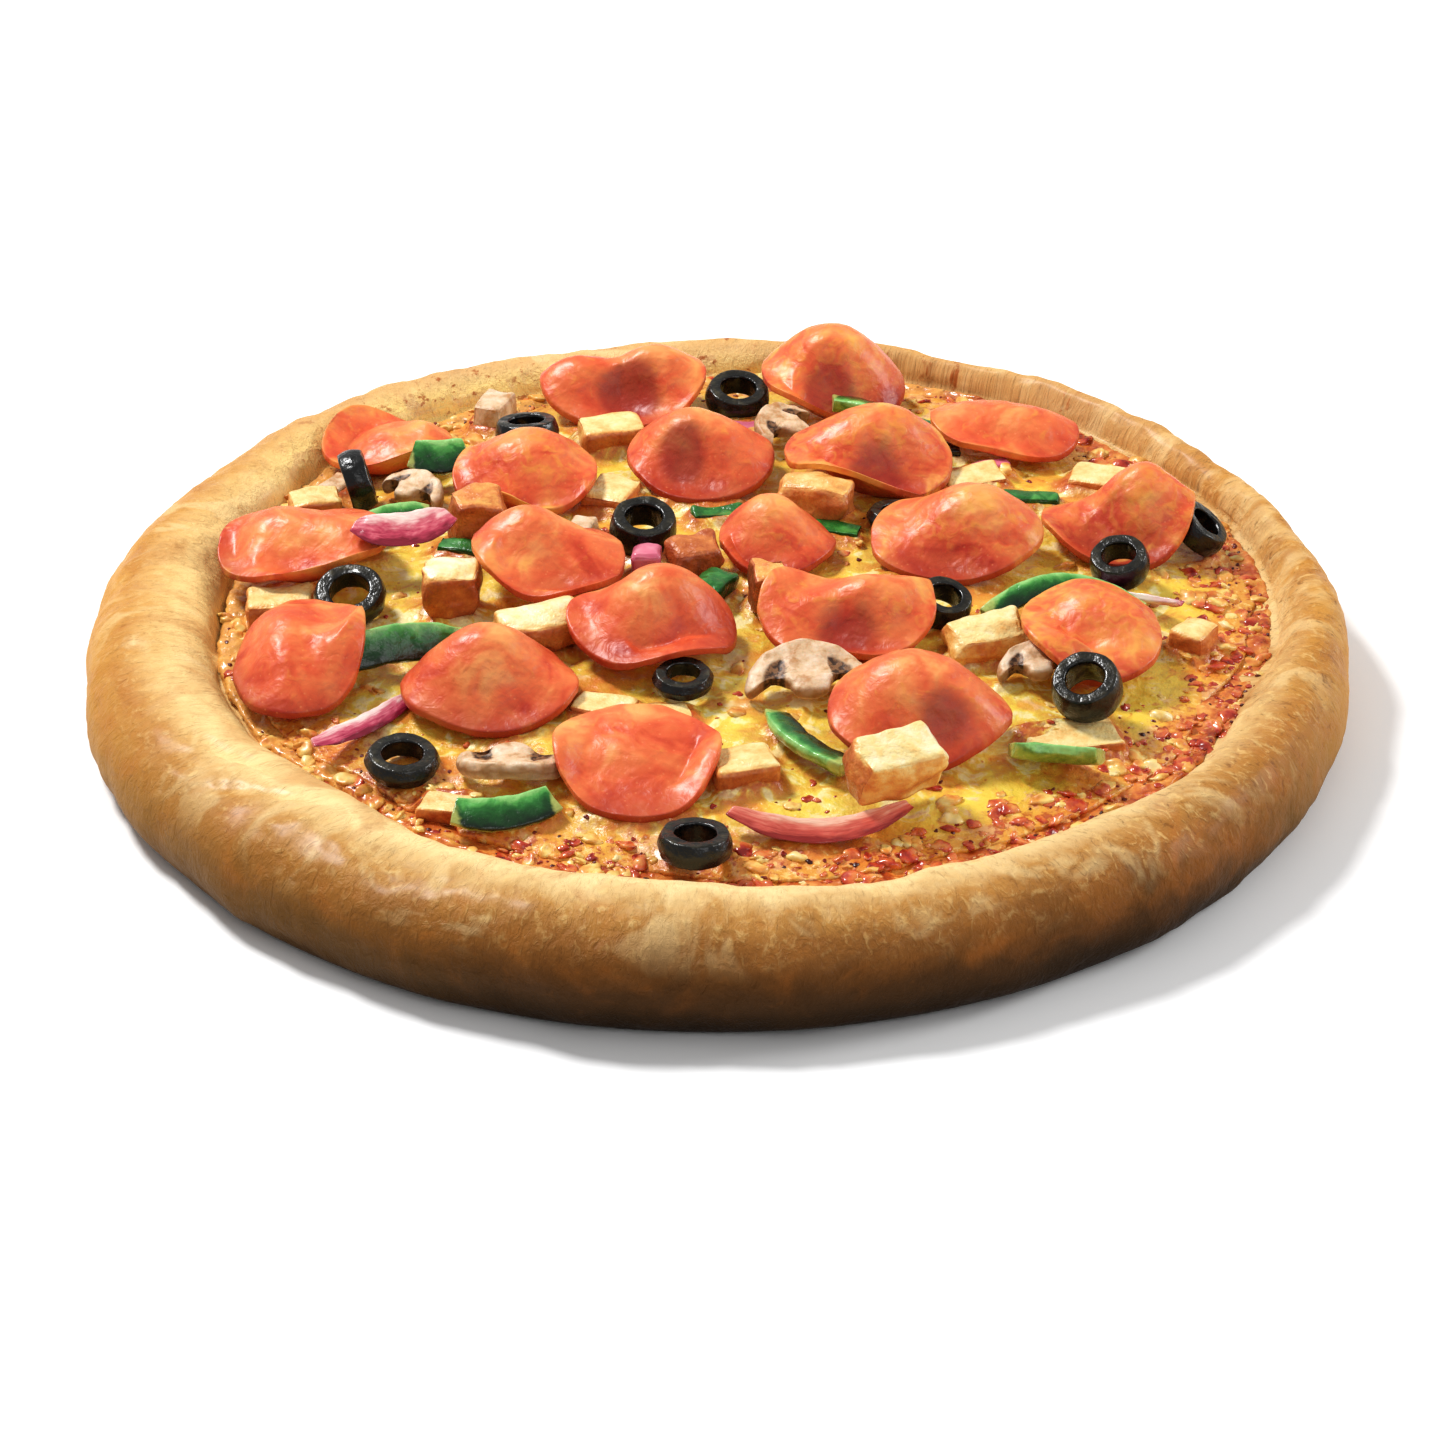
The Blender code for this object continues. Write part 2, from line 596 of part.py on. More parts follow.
def draped_slice(table, x, y, half_width, half_depth, swells):
    """A pepperoni slice, cupped above the cheese and lifted wherever something lies under it."""
    reach = half_depth / PEPPERONI_RINGS

    def place(share, angle):
        edge = share * (1 + 0.03 * math.sin(3 * angle + 40 * x) + 0.02 * math.sin(5 * angle + 70 * y))
        p, q = share * math.cos(angle), share * math.sin(angle)
        spot_x = x + half_width * edge * math.cos(angle)
        spot_y = y + half_depth * edge * math.sin(angle)
        around = [(0, 0), (reach, 0), (-reach, 0), (0, reach), (0, -reach)]
        support = max(table.height(spot_x + dx, spot_y + dy) for dx, dy in around)
        ruffle = 0.0006 * share**3 * math.sin(4 * angle + 90 * x)
        own = table.height(spot_x, spot_y, 2) + cupping(swells, p, q) + ruffle
        low = max(own, support) + 1.5 * GAP
        return spot_x, spot_y, low, low + PEPPERONI_THICKNESS

    return slice_solid(PEPPERONI_RINGS, PEPPERONI_SECTORS, place)


def smoothed(points, sectors, rings, passes):
    """Evens out a draped slice, so that it bends and doesn't crease, without pulling it down."""
    size = len(points) // 2
    heights = [points[i][2] for i in range(size)]
    for _ in range(passes):
        evened = list(heights)
        for ring in range(1, rings + 1):
            for s in range(sectors):
                here = 1 + (ring - 1) * sectors + s
                near = [1 + (ring - 1) * sectors + (s + k) % sectors for k in (-1, 1)]
                near.append(here - sectors if ring > 1 else 0)
                if ring < rings:
                    near.append(here + sectors)
                evened[here] = 0.5 * heights[here] + 0.5 * sum(heights[i] for i in near) / len(near)
        heights = evened
    low = [(x, y, heights[i]) for i, (x, y, _) in enumerate(points[:size])]
    return low + [(x, y, z + PEPPERONI_THICKNESS) for x, y, z in low]


def lay_slice(table, name, material, x, y, half_width, half_depth, swells):
    """Drapes a slice and lifts only the parts of it that would still touch something."""
    points, faces = draped_slice(table, x, y, half_width, half_depth, swells)
    points = smoothed(points, PEPPERONI_SECTORS, PEPPERONI_RINGS, 1)
    size = len(points) // 2
    touching = table.touching(points, faces)
    while touching:
        lifted = {i % size for face in touching for i in faces[face]}
        steps = [DROP_STEP if i % size in lifted else 0 for i in range(2 * size)]
        points = [(px, py, pz + step) for (px, py, pz), step in zip(points, steps)]
        touching = table.touching(points, faces)
    table.add(points, faces)
    return object_from(name, points, faces, material)


def bit_shape(kind, length, width, height, seed):
    if kind in ("chicken", "mushroom", "olive"):
        return block(length, width, height, seed, cuts=0)
    return strip(length, width, height, 20, 0.2, 5, 2)


def melt_in_bits(cheese, material):
    """Joins the smaller pieces to the cheese that they have sunk into, as one solid."""
    bits = bpy.data.collections.new("bits")
    bpy.context.scene.collection.children.link(bits)
    top = BVHTree.FromObject(cheese, bpy.context.evaluated_depsgraph_get())
    for seed, (kind, x, y, turn, length, width, height) in enumerate(BITS):
        points, faces = bit_shape(kind, length, width, height, seed)
        surface = top.ray_cast(Vector((x, y, DROP_HEIGHT)), Vector((0, 0, -1)))[0]
        bottom = max(surface.z - BIT_SINK, DOUGH_FLOOR + SAUCE_THICKNESS + 3 * GAP)
        lift = bottom - min(p.z for p in points)
        points = [p + Vector((0, 0, lift)) for p in posed(points, x, y, turn, 0)]
        bit = object_from(f"bit_{seed:02d}", points, faces, material)
        bpy.context.scene.collection.objects.unlink(bit)
        bits.objects.link(bit)
    join = cheese.modifiers.new("join_bits", "BOOLEAN")
    join.operation = "UNION"
    join.operand_type = "COLLECTION"
    join.collection = bits
    join.solver = "MANIFOLD"
    bpy.context.view_layer.update()
    joined = bpy.data.meshes.new_from_object(cheese.evaluated_get(bpy.context.evaluated_depsgraph_get()))
    cheese.modifiers.clear()
    cheese.data = joined
    for bit in list(bits.objects):
        bpy.data.objects.remove(bit)
    bpy.data.collections.remove(bits)


def mesh_lists(obj):
    points = [v.co.copy() for v in obj.data.vertices]
    return points, [tuple(face.vertices) for face in obj.data.polygons]


def lay_stiff_toppings(table, materials, counts, olives, mushrooms, peppers, onions, chicken):
    """Lays one batch of stiff toppings. counts keeps the running number of each kind."""

    def name(kind):
        counts[kind] = counts.get(kind, 0) + 1
        return f"{kind}_{counts[kind]:02d}"

    for x, y, turn, tilt, width, stem_length in mushrooms:
        points, faces = mushroom_slice(width, stem_length)
        lay(table, name("mushroom"), points, faces, materials["mushroom"], x, y, turn, tilt)
    for x, y, turn, tilt, length, width, height in chicken:
        points, faces = block(length, width, height, 11 + turn)
        lay(table, name("chicken"), points, faces, materials["chicken"], x, y, turn, tilt)
    for x, y, turn, tilt, length, width, bend in peppers:
        points, faces = strip(length, width, PEPPER_THICKNESS, bend, 0.15, 6, 6)
        lay(table, name("pepper"), points, faces, materials["pepper"], x, y, turn, tilt)
    for x, y, turn, tilt, length, width, bend in onions:
        points, faces = strip(length, width, ONION_THICKNESS, bend, 0.55, 5, 7)
        lay(table, name("onion"), points, faces, materials["onion"], x, y, turn, tilt)
    for x, y, turn, tilt, radius, height in olives:
        points, faces = olive_ring(radius, height)
        lay(table, name("olive"), points, faces, materials["olive"], x, y, turn, tilt)


def build_pizza():
    materials = {name: make_material(name) for name in LOOKS}
    table = Table()
    counts = {}
    crust = make_crust(materials["crust"])
    table.add(*mesh_lists(crust))
    make_sauce(materials["sauce"])
    cheese = make_cheese(materials["cheese"])
    melt_in_bits(cheese, materials["cheese"])
    table.add(*mesh_lists(cheese))
    lay_stiff_toppings(
        table, materials, counts, OLIVES_UNDER, MUSHROOMS_UNDER, PEPPERS_UNDER, ONIONS_UNDER, CHICKEN_UNDER
    )
    for number, slice_of in enumerate(PEPPERONI, start=1):
        lay_slice(table, f"pepperoni_{number:02d}", materials["pepperoni"], *slice_of)
    lay_stiff_toppings(table, materials, counts, OLIVES_OVER, (), PEPPERS_OVER, ONIONS_OVER, CHICKEN_OVER)


clear_scene()
build_pizza()
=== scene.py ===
import math
import random

import bpy
from mathutils import Matrix, Vector
from mathutils.bvhtree import BVHTree


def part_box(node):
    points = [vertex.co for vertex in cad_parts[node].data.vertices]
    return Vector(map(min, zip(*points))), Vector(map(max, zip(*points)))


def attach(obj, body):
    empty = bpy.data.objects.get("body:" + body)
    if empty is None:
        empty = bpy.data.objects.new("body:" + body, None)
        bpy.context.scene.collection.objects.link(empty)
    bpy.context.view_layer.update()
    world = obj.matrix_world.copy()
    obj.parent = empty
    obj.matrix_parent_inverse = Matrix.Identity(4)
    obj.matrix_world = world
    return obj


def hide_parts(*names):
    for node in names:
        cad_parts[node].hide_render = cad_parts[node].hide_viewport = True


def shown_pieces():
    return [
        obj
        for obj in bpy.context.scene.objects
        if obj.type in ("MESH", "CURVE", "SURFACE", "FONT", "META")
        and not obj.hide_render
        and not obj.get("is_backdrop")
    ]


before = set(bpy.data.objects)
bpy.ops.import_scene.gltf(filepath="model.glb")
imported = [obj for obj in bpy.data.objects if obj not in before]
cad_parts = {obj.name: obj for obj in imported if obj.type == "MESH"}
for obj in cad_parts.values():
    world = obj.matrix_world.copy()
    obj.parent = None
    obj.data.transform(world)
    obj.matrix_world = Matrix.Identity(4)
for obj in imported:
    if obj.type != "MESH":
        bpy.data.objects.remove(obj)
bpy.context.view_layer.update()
bpy.ops.object.select_all(action="DESELECT")

# Metres, +Z up, the pizza's flat underside at the origin and the side that is looked at on -Y.
pizza = {
    "tubeReach": 0.1385,       # middle of the puffed rim, seen as a tube
    "tubeHeight": 0.0125,
    "tubeRadius": 0.0125,
    "doughFloor": 0.0140,
    "clearHeight": 0.1,        # above all of it
    "fillingCentre": Vector((0.006, 0.011)),
    "fillingRadius": 0.127,
}


# Camera and lamps

studio = {
    "elevation": 30.4,         # degrees that the camera looks down
    "distance": 1.2,
    "lens": 125.5,
    "shift": (0.0014, -0.018),
    "airStrength": 0.38,
    "look": "Medium High Contrast",
    "lamps": (                 # name, place, size, watts
        ("keyLamp", (-0.75, 0.55, 1.25), 0.34, 18.5),
        ("fillLamp", (0.55, -1.30, 1.10), 0.90, 3.2),
        ("edgeLamp", (1.15, 0.25, 0.60), 0.45, 5.0),
    ),
}


def setCamera():
    down = math.radians(studio["elevation"])
    away = studio["distance"]
    bpy.ops.object.camera_add(
        location=(0, -away * math.cos(down), away * math.sin(down)),
        rotation=(math.pi / 2 - down, 0, 0),
    )
    camera = bpy.context.object
    camera.name = "tableCamera"
    camera.data.lens = studio["lens"]
    camera.data.shift_x, camera.data.shift_y = studio["shift"]
    bpy.context.scene.camera = camera


def setLamps():
    for name, place, size, watts in studio["lamps"]:
        aim = (-Vector(place)).to_track_quat("-Z", "Y").to_euler()
        bpy.ops.object.light_add(type="AREA", location=place, rotation=aim)
        lamp = bpy.context.object
        lamp.name = name
        lamp.data.shape = "DISK"
        lamp.data.size = size
        lamp.data.energy = watts
    air = bpy.data.worlds.new("studioAir")
    air.use_nodes = True
    air.node_tree.nodes["Background"].inputs["Color"].default_value = (1, 1, 1, 1)
    air.node_tree.nodes["Background"].inputs["Strength"].default_value = studio["airStrength"]
    bpy.context.scene.world = air
    bpy.context.scene.view_settings.view_transform = "Standard"
    bpy.context.scene.view_settings.look = studio["look"]


# Shader nodes, written as maths


def seen(red, green, blue):    # a colour as the eye sees it, 0 to 255, as the light values a shader takes
    light = []
    for channel in (red / 255, green / 255, blue / 255):
        light.append(channel / 12.92 if channel <= 0.04045 else ((channel + 0.055) / 1.055) ** 2.4)
    return (*light, 1)


class Wire:                    # one output of a shader node
    def __init__(self, paint, socket):
        self.paint = paint
        self.socket = socket

    def sum(self, operation, first, second):
        flat = all(w.socket.type == "VALUE" for w in (first, second) if isinstance(w, Wire))
        kind = "ShaderNodeMath" if flat else "ShaderNodeVectorMath"
        return self.paint.node(kind, {"operation": operation}, {0: first, 1: second})

    def __add__(self, other):
        return self.sum("ADD", self, other)

    def __sub__(self, other):
        return self.sum("SUBTRACT", self, other)

    def __rsub__(self, other):
        return self.sum("SUBTRACT", other, self)

    def __mul__(self, other):
        return self.sum("MULTIPLY", self, other)

    def __truediv__(self, other):
        return self.sum("DIVIDE", self, other)

    def __rtruediv__(self, other):
        return self.sum("DIVIDE", other, self)

    def __pow__(self, other):
        return self.sum("POWER", self, other)

    __radd__ = __add__
    __rmul__ = __mul__


class Paint:                   # one material and its Principled shader
    def __init__(self, name, **uniform):
        self.material = bpy.data.materials.new(name)
        self.material.use_nodes = True
        self.tree = self.material.node_tree
        self.tree.nodes.clear()
        self.shader = self.tree.nodes.new("ShaderNodeBsdfPrincipled")
        surface = self.tree.nodes.new("ShaderNodeOutputMaterial")
        self.tree.links.new(self.shader.outputs[0], surface.inputs[0])
        for socket, value in uniform.items():
            self.shader.inputs[socket.replace("_", " ")].default_value = value

    def feed(self, socket, value):
        if isinstance(value, Wire):
            self.tree.links.new(value.socket, socket)
        elif socket.type == "VECTOR" and isinstance(value, (int, float)):
            socket.default_value = (value, value, value)
        else:
            socket.default_value = value

    def node(self, kind, settings=None, sockets=None, output=0):
        made = self.tree.nodes.new(kind)
        for name, value in (settings or {}).items():
            if name == "stops":
                self.setStops(made.color_ramp, value)
            else:
                setattr(made, name, value)
        for name, value in (sockets or {}).items():
            self.feed(made.inputs[name], value)
        return Wire(self, made.outputs[output])

    def setStops(self, ramp, stops):
        while len(ramp.elements) < len(stops):
            ramp.elements.new(1)
        for element, (position, *colour) in zip(ramp.elements, stops):
            element.position = position
            element.color = seen(*colour)

    def spot(self):            # where on the object this point is
        return self.node("ShaderNodeTexCoord", output="Object")

    def split(self, vector):
        parts = self.node("ShaderNodeSeparateXYZ", None, {0: vector})
        return [Wire(self, parts.socket.node.outputs[i]) for i in range(3)]

    def join(self, x, y, z):
        return self.node("ShaderNodeCombineXYZ", None, {0: x, 1: y, 2: z})

    def own(self, name, output="Fac"):
        return self.node("ShaderNodeAttribute", {"attribute_name": name}, output=output)

    def cloud(self, spot, scale, detail=2, roughness=0.5, bend=0):
        sockets = {"Vector": spot, "Scale": scale, "Detail": detail, "Roughness": roughness}
        return self.node("ShaderNodeTexNoise", None, {**sockets, "Distortion": bend})

    def cells(self, spot, scale):
        return self.node("ShaderNodeTexVoronoi", None, {"Vector": spot, "Scale": scale})

    def span(self, value, low, high):   # 0 at low, 1 at high, eased between
        sockets = {"Value": value, "From Min": low, "From Max": high}
        return self.node("ShaderNodeMapRange", {"interpolation_type": "SMOOTHSTEP"}, sockets)

    def ramp(self, value, stops):       # each stop is a place from 0 to 1 and its colour
        return self.node("ShaderNodeValToRGB", {"stops": stops}, {0: value})

    def mix(self, first, second, share):
        sockets = {0: share, 6: first, 7: second}
        return self.node("ShaderNodeMix", {"data_type": "RGBA"}, sockets, output=2)

    def finish(self, colour, roughness, relief=None, depth=0):
        self.feed(self.shader.inputs["Base Color"], colour)
        self.feed(self.shader.inputs["Roughness"], roughness)
        if relief is not None:
            bump = self.node("ShaderNodeBump", None, {"Strength": 1.0, "Distance": depth, "Height": relief})
            self.feed(self.shader.inputs["Normal"], bump)
        return self.material


# Modelling helpers


def bell(distance, width):
    return math.exp(-((distance / width) ** 2))


def clamp(value):
    return max(0.0, min(1.0, value))


def grab(*pieces):             # selects these and nothing else, the first one active
    bpy.ops.object.select_all(action="DESELECT")
    for piece in pieces:
        piece.select_set(True)
    bpy.context.view_layer.objects.active = pieces[0]


def apply(piece, kind, **settings):
    grab(piece)
    bpy.ops.object.modifier_add(type=kind)
    modifier = piece.modifiers[-1]
    for name, value in settings.items():
        setattr(modifier, name, value)
    bpy.ops.object.modifier_apply(modifier=modifier.name)


def divide(piece, levels, plain=False):
    way = "SIMPLE" if plain else "CATMULL_CLARK"
    apply(piece, "SUBSURF", levels=levels, render_levels=levels, subdivision_type=way)


def roughen(piece, bumps, group="", octaves=1):   # bumps of each size and depth, one layer over another
    for size, depth in bumps:
        grain = bpy.data.textures.new(piece.name + "Grain", "CLOUDS")
        grain.noise_scale = size
        grain.noise_depth = octaves
        grain.noise_basis = "IMPROVED_PERLIN"
        apply(
            piece, "DISPLACE", texture=grain, texture_coords="LOCAL", strength=depth, mid_level=0.5,
            vertex_group=group,
        )
        bpy.data.textures.remove(grain)


def takeCopy(node, name):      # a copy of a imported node's mesh, merged and in quads
    piece = bpy.data.objects.new(name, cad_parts[node].data.copy())
    bpy.context.scene.collection.objects.link(piece)
    piece.data.materials.clear()
    grab(piece)
    bpy.ops.mesh.customdata_custom_splitnormals_clear()
    bpy.ops.object.mode_set(mode="EDIT")
    bpy.ops.mesh.select_all(action="SELECT")
    bpy.ops.mesh.remove_doubles(threshold=0.00001)
    bpy.ops.mesh.tris_convert_to_quads()
    bpy.ops.object.mode_set(mode="OBJECT")
    return piece


def creaseSharp(piece, degrees, amount):   # keeps edges sharper than this from rounding off
    grab(piece)
    bpy.ops.object.mode_set(mode="EDIT")
    bpy.ops.mesh.select_mode(type="EDGE")
    bpy.ops.mesh.select_all(action="DESELECT")
    bpy.ops.mesh.edges_select_sharp(sharpness=math.radians(degrees))
    bpy.ops.transform.edge_crease(value=amount)
    bpy.ops.object.mode_set(mode="OBJECT")


def roundedCopies(settings, name):   # each slice's node, its finer copy and its own values
    for number, (node, values) in enumerate(settings["slices"].items(), start=1):
        piece = takeCopy(node, f"{name}_{number:02d}")
        creaseSharp(piece, settings["sharp"], settings["crease"])
        divide(piece, settings["levels"])
        roughen(piece, settings["bumps"])
        yield node, piece, values


def weigh(piece, name, rule):  # a vertex group whose weights come from each point's place
    group = piece.vertex_groups.new(name=name)
    for point in piece.data.vertices:
        group.add([point.index], clamp(rule(point.co)), "REPLACE")


def mark(piece, name, rule, kind="FLOAT"):   # an attribute from each point's place and normal
    layer = piece.data.attributes.new(name, kind, "POINT")
    slot = "vector" if kind == "FLOAT_VECTOR" else "value"
    for point, cell in zip(piece.data.vertices, layer.data):
        setattr(cell, slot, rule(point.co, point.normal))


def laidDown(turn, tilt):      # a tilt about X, then a turn about Z, in radians
    return Matrix.Rotation(turn, 3, "Z") @ Matrix.Rotation(tilt, 3, "X")


def ownFrame(piece, x, y, turn, tilt):   # from a point to the piece's own upright frame, and the turn to it
    spin = laidDown(math.radians(turn), math.radians(tilt)).inverted()
    points = piece.data.vertices
    middle = sum((spin @ (p.co - Vector((x, y, 0)))).z for p in points) / len(points)
    origin = Vector((x, y, middle / math.cos(math.radians(tilt))))
    return lambda point: spin @ (point - origin), spin


def dress(piece, material, slot, *nodes):
    piece.data.materials.clear()
    piece.data.materials.append(material)
    grab(piece)
    bpy.ops.object.shade_smooth()
    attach(piece, "root")
    if nodes:
        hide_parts(*nodes)
    return piece


# Crust

crust = {
    "levels": 3,
    "bakedFrom": 0.0012,       # the flat underside keeps its shape below this height
    "bakedOver": 0.003,
    "puffs": ((0.028, 0.0028), (0.012, 0.0018), (0.0052, 0.0008), (0.0024, 0.00030)),
    "creases": (               # from, to, half width, depth
        ((-0.118, -0.060), (-0.094, -0.078), 0.0022, 0.0016),
        ((-0.112, -0.082), (-0.085, -0.092), 0.0020, 0.0014),
        ((-0.124, -0.036), (-0.110, -0.048), 0.0020, 0.0009),
        ((0.128, -0.030), (0.119, -0.046), 0.0024, 0.0012),
        ((0.120, 0.060), (0.131, 0.050), 0.0024, 0.0010),
        ((-0.040, 0.139), (-0.030, 0.131), 0.0024, 0.0010),
    ),
    "creaseStart": 0.15,       # each starts this far into its swell, and fades out at its end
    "turns": (-1.7, 3.1),      # round the tube, from underneath over the top to the filling
    "fibreRadius": 0.0065,     # under the tube's own radius, which draws the fibres out across it
}


def crustPaint():
    paint = Paint("bakedDough", Specular_IOR_Level=0.16, Coat_Roughness=0.30)
    x, y, z = paint.split(paint.spot())
    reach = (x * x + y * y) ** 0.5
    fromTube = {0: z - pizza["tubeHeight"], 1: reach - pizza["tubeReach"]}
    turn = paint.node("ShaderNodeMath", {"operation": "ARCTAN2"}, fromTube)
    around = pizza["tubeReach"] / reach
    ring = paint.join(x * around, y * around, turn * pizza["tubeRadius"])
    fibreSpot = paint.join(x * around, y * around, turn * crust["fibreRadius"])
    fibres = paint.cloud(fibreSpot, 520, detail=3, roughness=0.65, bend=1.0)
    swirls = paint.cloud(ring, 38, detail=3, roughness=0.55, bend=1.4)
    mottle = paint.cloud(ring, 95, detail=4, roughness=0.6, bend=0.6)
    patches = paint.cloud(ring, 300, detail=4, roughness=0.65)
    # front: the side facing -Y, where painted shade darkens the crust towards its underside
    front = paint.span(y / reach, 0.05, -0.75)
    right = paint.span(x / reach, 0.1, 0.95)
    left = paint.span(x / reach, -0.2, -0.9)
    back = paint.span(y / reach, 0.35, 0.9)
    low, high = crust["turns"]
    share = paint.node("ShaderNodeMapRange", None, {"Value": turn, "From Min": low, "From Max": high})
    above = paint.span(share, 0.18, 0.60)
    upper = paint.span(share, 0.40, 0.72)
    uneven = share + ((mottle - 0.5) * 0.20 + (swirls - 0.5) * 0.22) * above
    pale = paint.ramp(
        uneven,
        (
            (0.00, 70, 42, 16),
            (0.14, 146, 98, 44),
            (0.33, 210, 154, 78),
            (0.50, 210, 152, 72),
            (0.66, 206, 148, 72),
            (0.84, 240, 204, 138),
            (1.00, 234, 196, 128),
        ),
    )
    # front crust colour: painted shade, near black underneath and darker up the outer face, rising to a
    # painted highlight, the pale cream line along the inner top edge
    brown = paint.ramp(
        uneven,
        (
            (0.00, 10, 5, 1),
            (0.14, 18, 9, 2),
            (0.26, 30, 16, 5),
            (0.36, 66, 38, 13),
            (0.46, 114, 70, 28),
            (0.58, 152, 100, 45),
            (0.70, 190, 138, 72),
            (0.84, 248, 222, 164),
            (1.00, 238, 204, 142),
        ),
    )
    # painted shade and highlight on the front, a little less on the left side where more light falls
    colour = paint.mix(pale, brown, front * (0.95 - left * 0.25))
    colour = paint.mix(colour, seen(178, 104, 36), paint.span(swirls, 0.52, 0.70) * above * 0.42)
    colour = paint.mix(colour, seen(168, 98, 32), right * paint.span(mottle, 0.35, 0.7) * above * 0.50)
    colour = paint.mix(colour, seen(240, 208, 142), paint.span(patches, 0.55, 0.72) * upper * 0.45)
    colour = paint.mix(colour, seen(150, 92, 34), paint.span(patches, 0.42, 0.28) * above * 0.35)
    colour = paint.mix(colour, seen(252, 226, 168), paint.span(swirls, 0.48, 0.36) * upper * 0.45)
    lightFibres = paint.span(fibres, 0.54, 0.72) * upper * (0.40 + right * 0.3)
    colour = paint.mix(colour, seen(240, 200, 132), lightFibres)
    darkFibres = paint.span(fibres, 0.44, 0.28) * above * (0.15 + right * 0.4)
    colour = paint.mix(colour, seen(104, 60, 20), darkFibres)
    colour = paint.mix(colour, seen(250, 228, 180), back * upper * 0.35)
    run = back * paint.span(share, 0.62, 0.80) * paint.span(mottle, 0.34, 0.50)
    colour = paint.mix(colour, seen(252, 222, 136), run * 0.80)
    scorched = back * paint.span(patches, 0.56, 0.66) * paint.span(swirls, 0.42, 0.56)
    colour = paint.mix(colour, seen(170, 84, 26), scorched * 0.85)
    paint.feed(paint.shader.inputs["Coat Weight"], upper * 0.22)
    relief = fibres * 0.55 + patches * 0.45
    return paint.finish(colour, 0.56 - paint.span(mottle, 0.4, 0.8) * 0.14, relief, 0.0013)


def press(piece, start, end, width, depth):   # a crease sunk into the dough from start to end
    a, b = Vector(start), Vector(end)
    along = b - a
    for point in piece.data.vertices:
        spot = point.co.xy
        share = clamp((spot - a).dot(along) / along.length_squared)
        off = (spot - a - share * along).length
        if off < 3 * width and point.co.z > pizza["tubeHeight"]:
            fade = math.sin(math.pi * (crust["creaseStart"] + (1 - crust["creaseStart"]) * share)) ** 0.5
            point.co -= point.normal * depth * bell(off, width) * fade


def makeCrust():
    piece = takeCopy("crust", "bakedCrust")
    divide(piece, crust["levels"])
    for crease in crust["creases"]:
        press(piece, *crease)
    weigh(piece, "baked", lambda spot: (spot.z - crust["bakedFrom"]) / crust["bakedOver"])
    roughen(piece, crust["puffs"], group="baked")
    for point in piece.data.vertices:
        point.co.z = max(point.co.z, 0)
    print("crust", len(piece.data.polygons), "faces")
    return dress(piece, crustPaint(), "crust", "crust")


# Pepperoni: where each slice lies, its half sizes, and how much orange oil has risen in it

pepperoni = {
    "levels": 3,
    "sharp": 48,               # degrees from which an edge keeps its crease
    "crease": 0.55,
    "bumps": ((0.0080, 0.0010), (0.0030, 0.0003), (0.0012, 0.00010)),
    "hollowShadeWidth": 0.42,
    "hollowShades": {               # painted shade in each slice's cupped hollow: across and away from the middle as shares of the slice, how dark
        "pepperoni_01": (-0.50, -0.25, 0.35),
        "pepperoni_02": (0.00, -0.40, 0.75),
        "pepperoni_04": (-0.15, -0.10, 0.40),
        "pepperoni_05": (-0.25, -0.30, 0.80),
        "pepperoni_06": (0.10, -0.45, 0.80),
        "pepperoni_09": (0.05, -0.35, 0.95),
        "pepperoni_10": (-0.05, -0.55, 0.85),
        "pepperoni_13": (-0.10, -0.20, 0.50),
        "pepperoni_14": (0.10, -0.30, 0.30),
        "pepperoni_18": (0.30, -0.45, 0.65),
    },
    "slices": {
        "pepperoni_01": (-0.015, -0.020, 0.0205, 0.0175, 0.15),
        "pepperoni_02": (0.030, -0.013, 0.0215, 0.0155, 0.45),
        "pepperoni_03": (-0.040, 0.012, 0.0190, 0.0185, 0.35),
        "pepperoni_04": (0.057, 0.027, 0.0215, 0.0165, 0.60),
        "pepperoni_05": (-0.004, 0.068, 0.0190, 0.0165, 0.35),
        "pepperoni_06": (0.037, 0.067, 0.0215, 0.0180, 0.75),
        "pepperoni_07": (-0.047, 0.058, 0.0185, 0.0165, 0.65),
        "pepperoni_08": (0.014, 0.026, 0.0145, 0.0140, 0.45),
        "pepperoni_09": (-0.024, 0.111, 0.0220, 0.0155, 0.30),
        "pepperoni_10": (0.029, 0.112, 0.0190, 0.0170, 0.70),
        "pepperoni_11": (0.072, 0.089, 0.0195, 0.0150, 0.35),
        "pepperoni_12": (-0.083, 0.085, 0.0170, 0.0170, 0.50),
        "pepperoni_13": (0.097, 0.038, 0.0190, 0.0175, 0.85),
        "pepperoni_14": (-0.100, 0.025, 0.0215, 0.0180, 0.40),
        "pepperoni_15": (-0.097, -0.026, 0.0160, 0.0225, 0.30),
        "pepperoni_16": (-0.052, -0.041, 0.0210, 0.0170, 0.15),
        "pepperoni_17": (0.087, -0.020, 0.0170, 0.0190, 0.80),
        "pepperoni_18": (0.045, -0.058, 0.0215, 0.0165, 0.35),
        "pepperoni_19": (-0.018, -0.073, 0.0195, 0.0190, 0.15),
    },
}


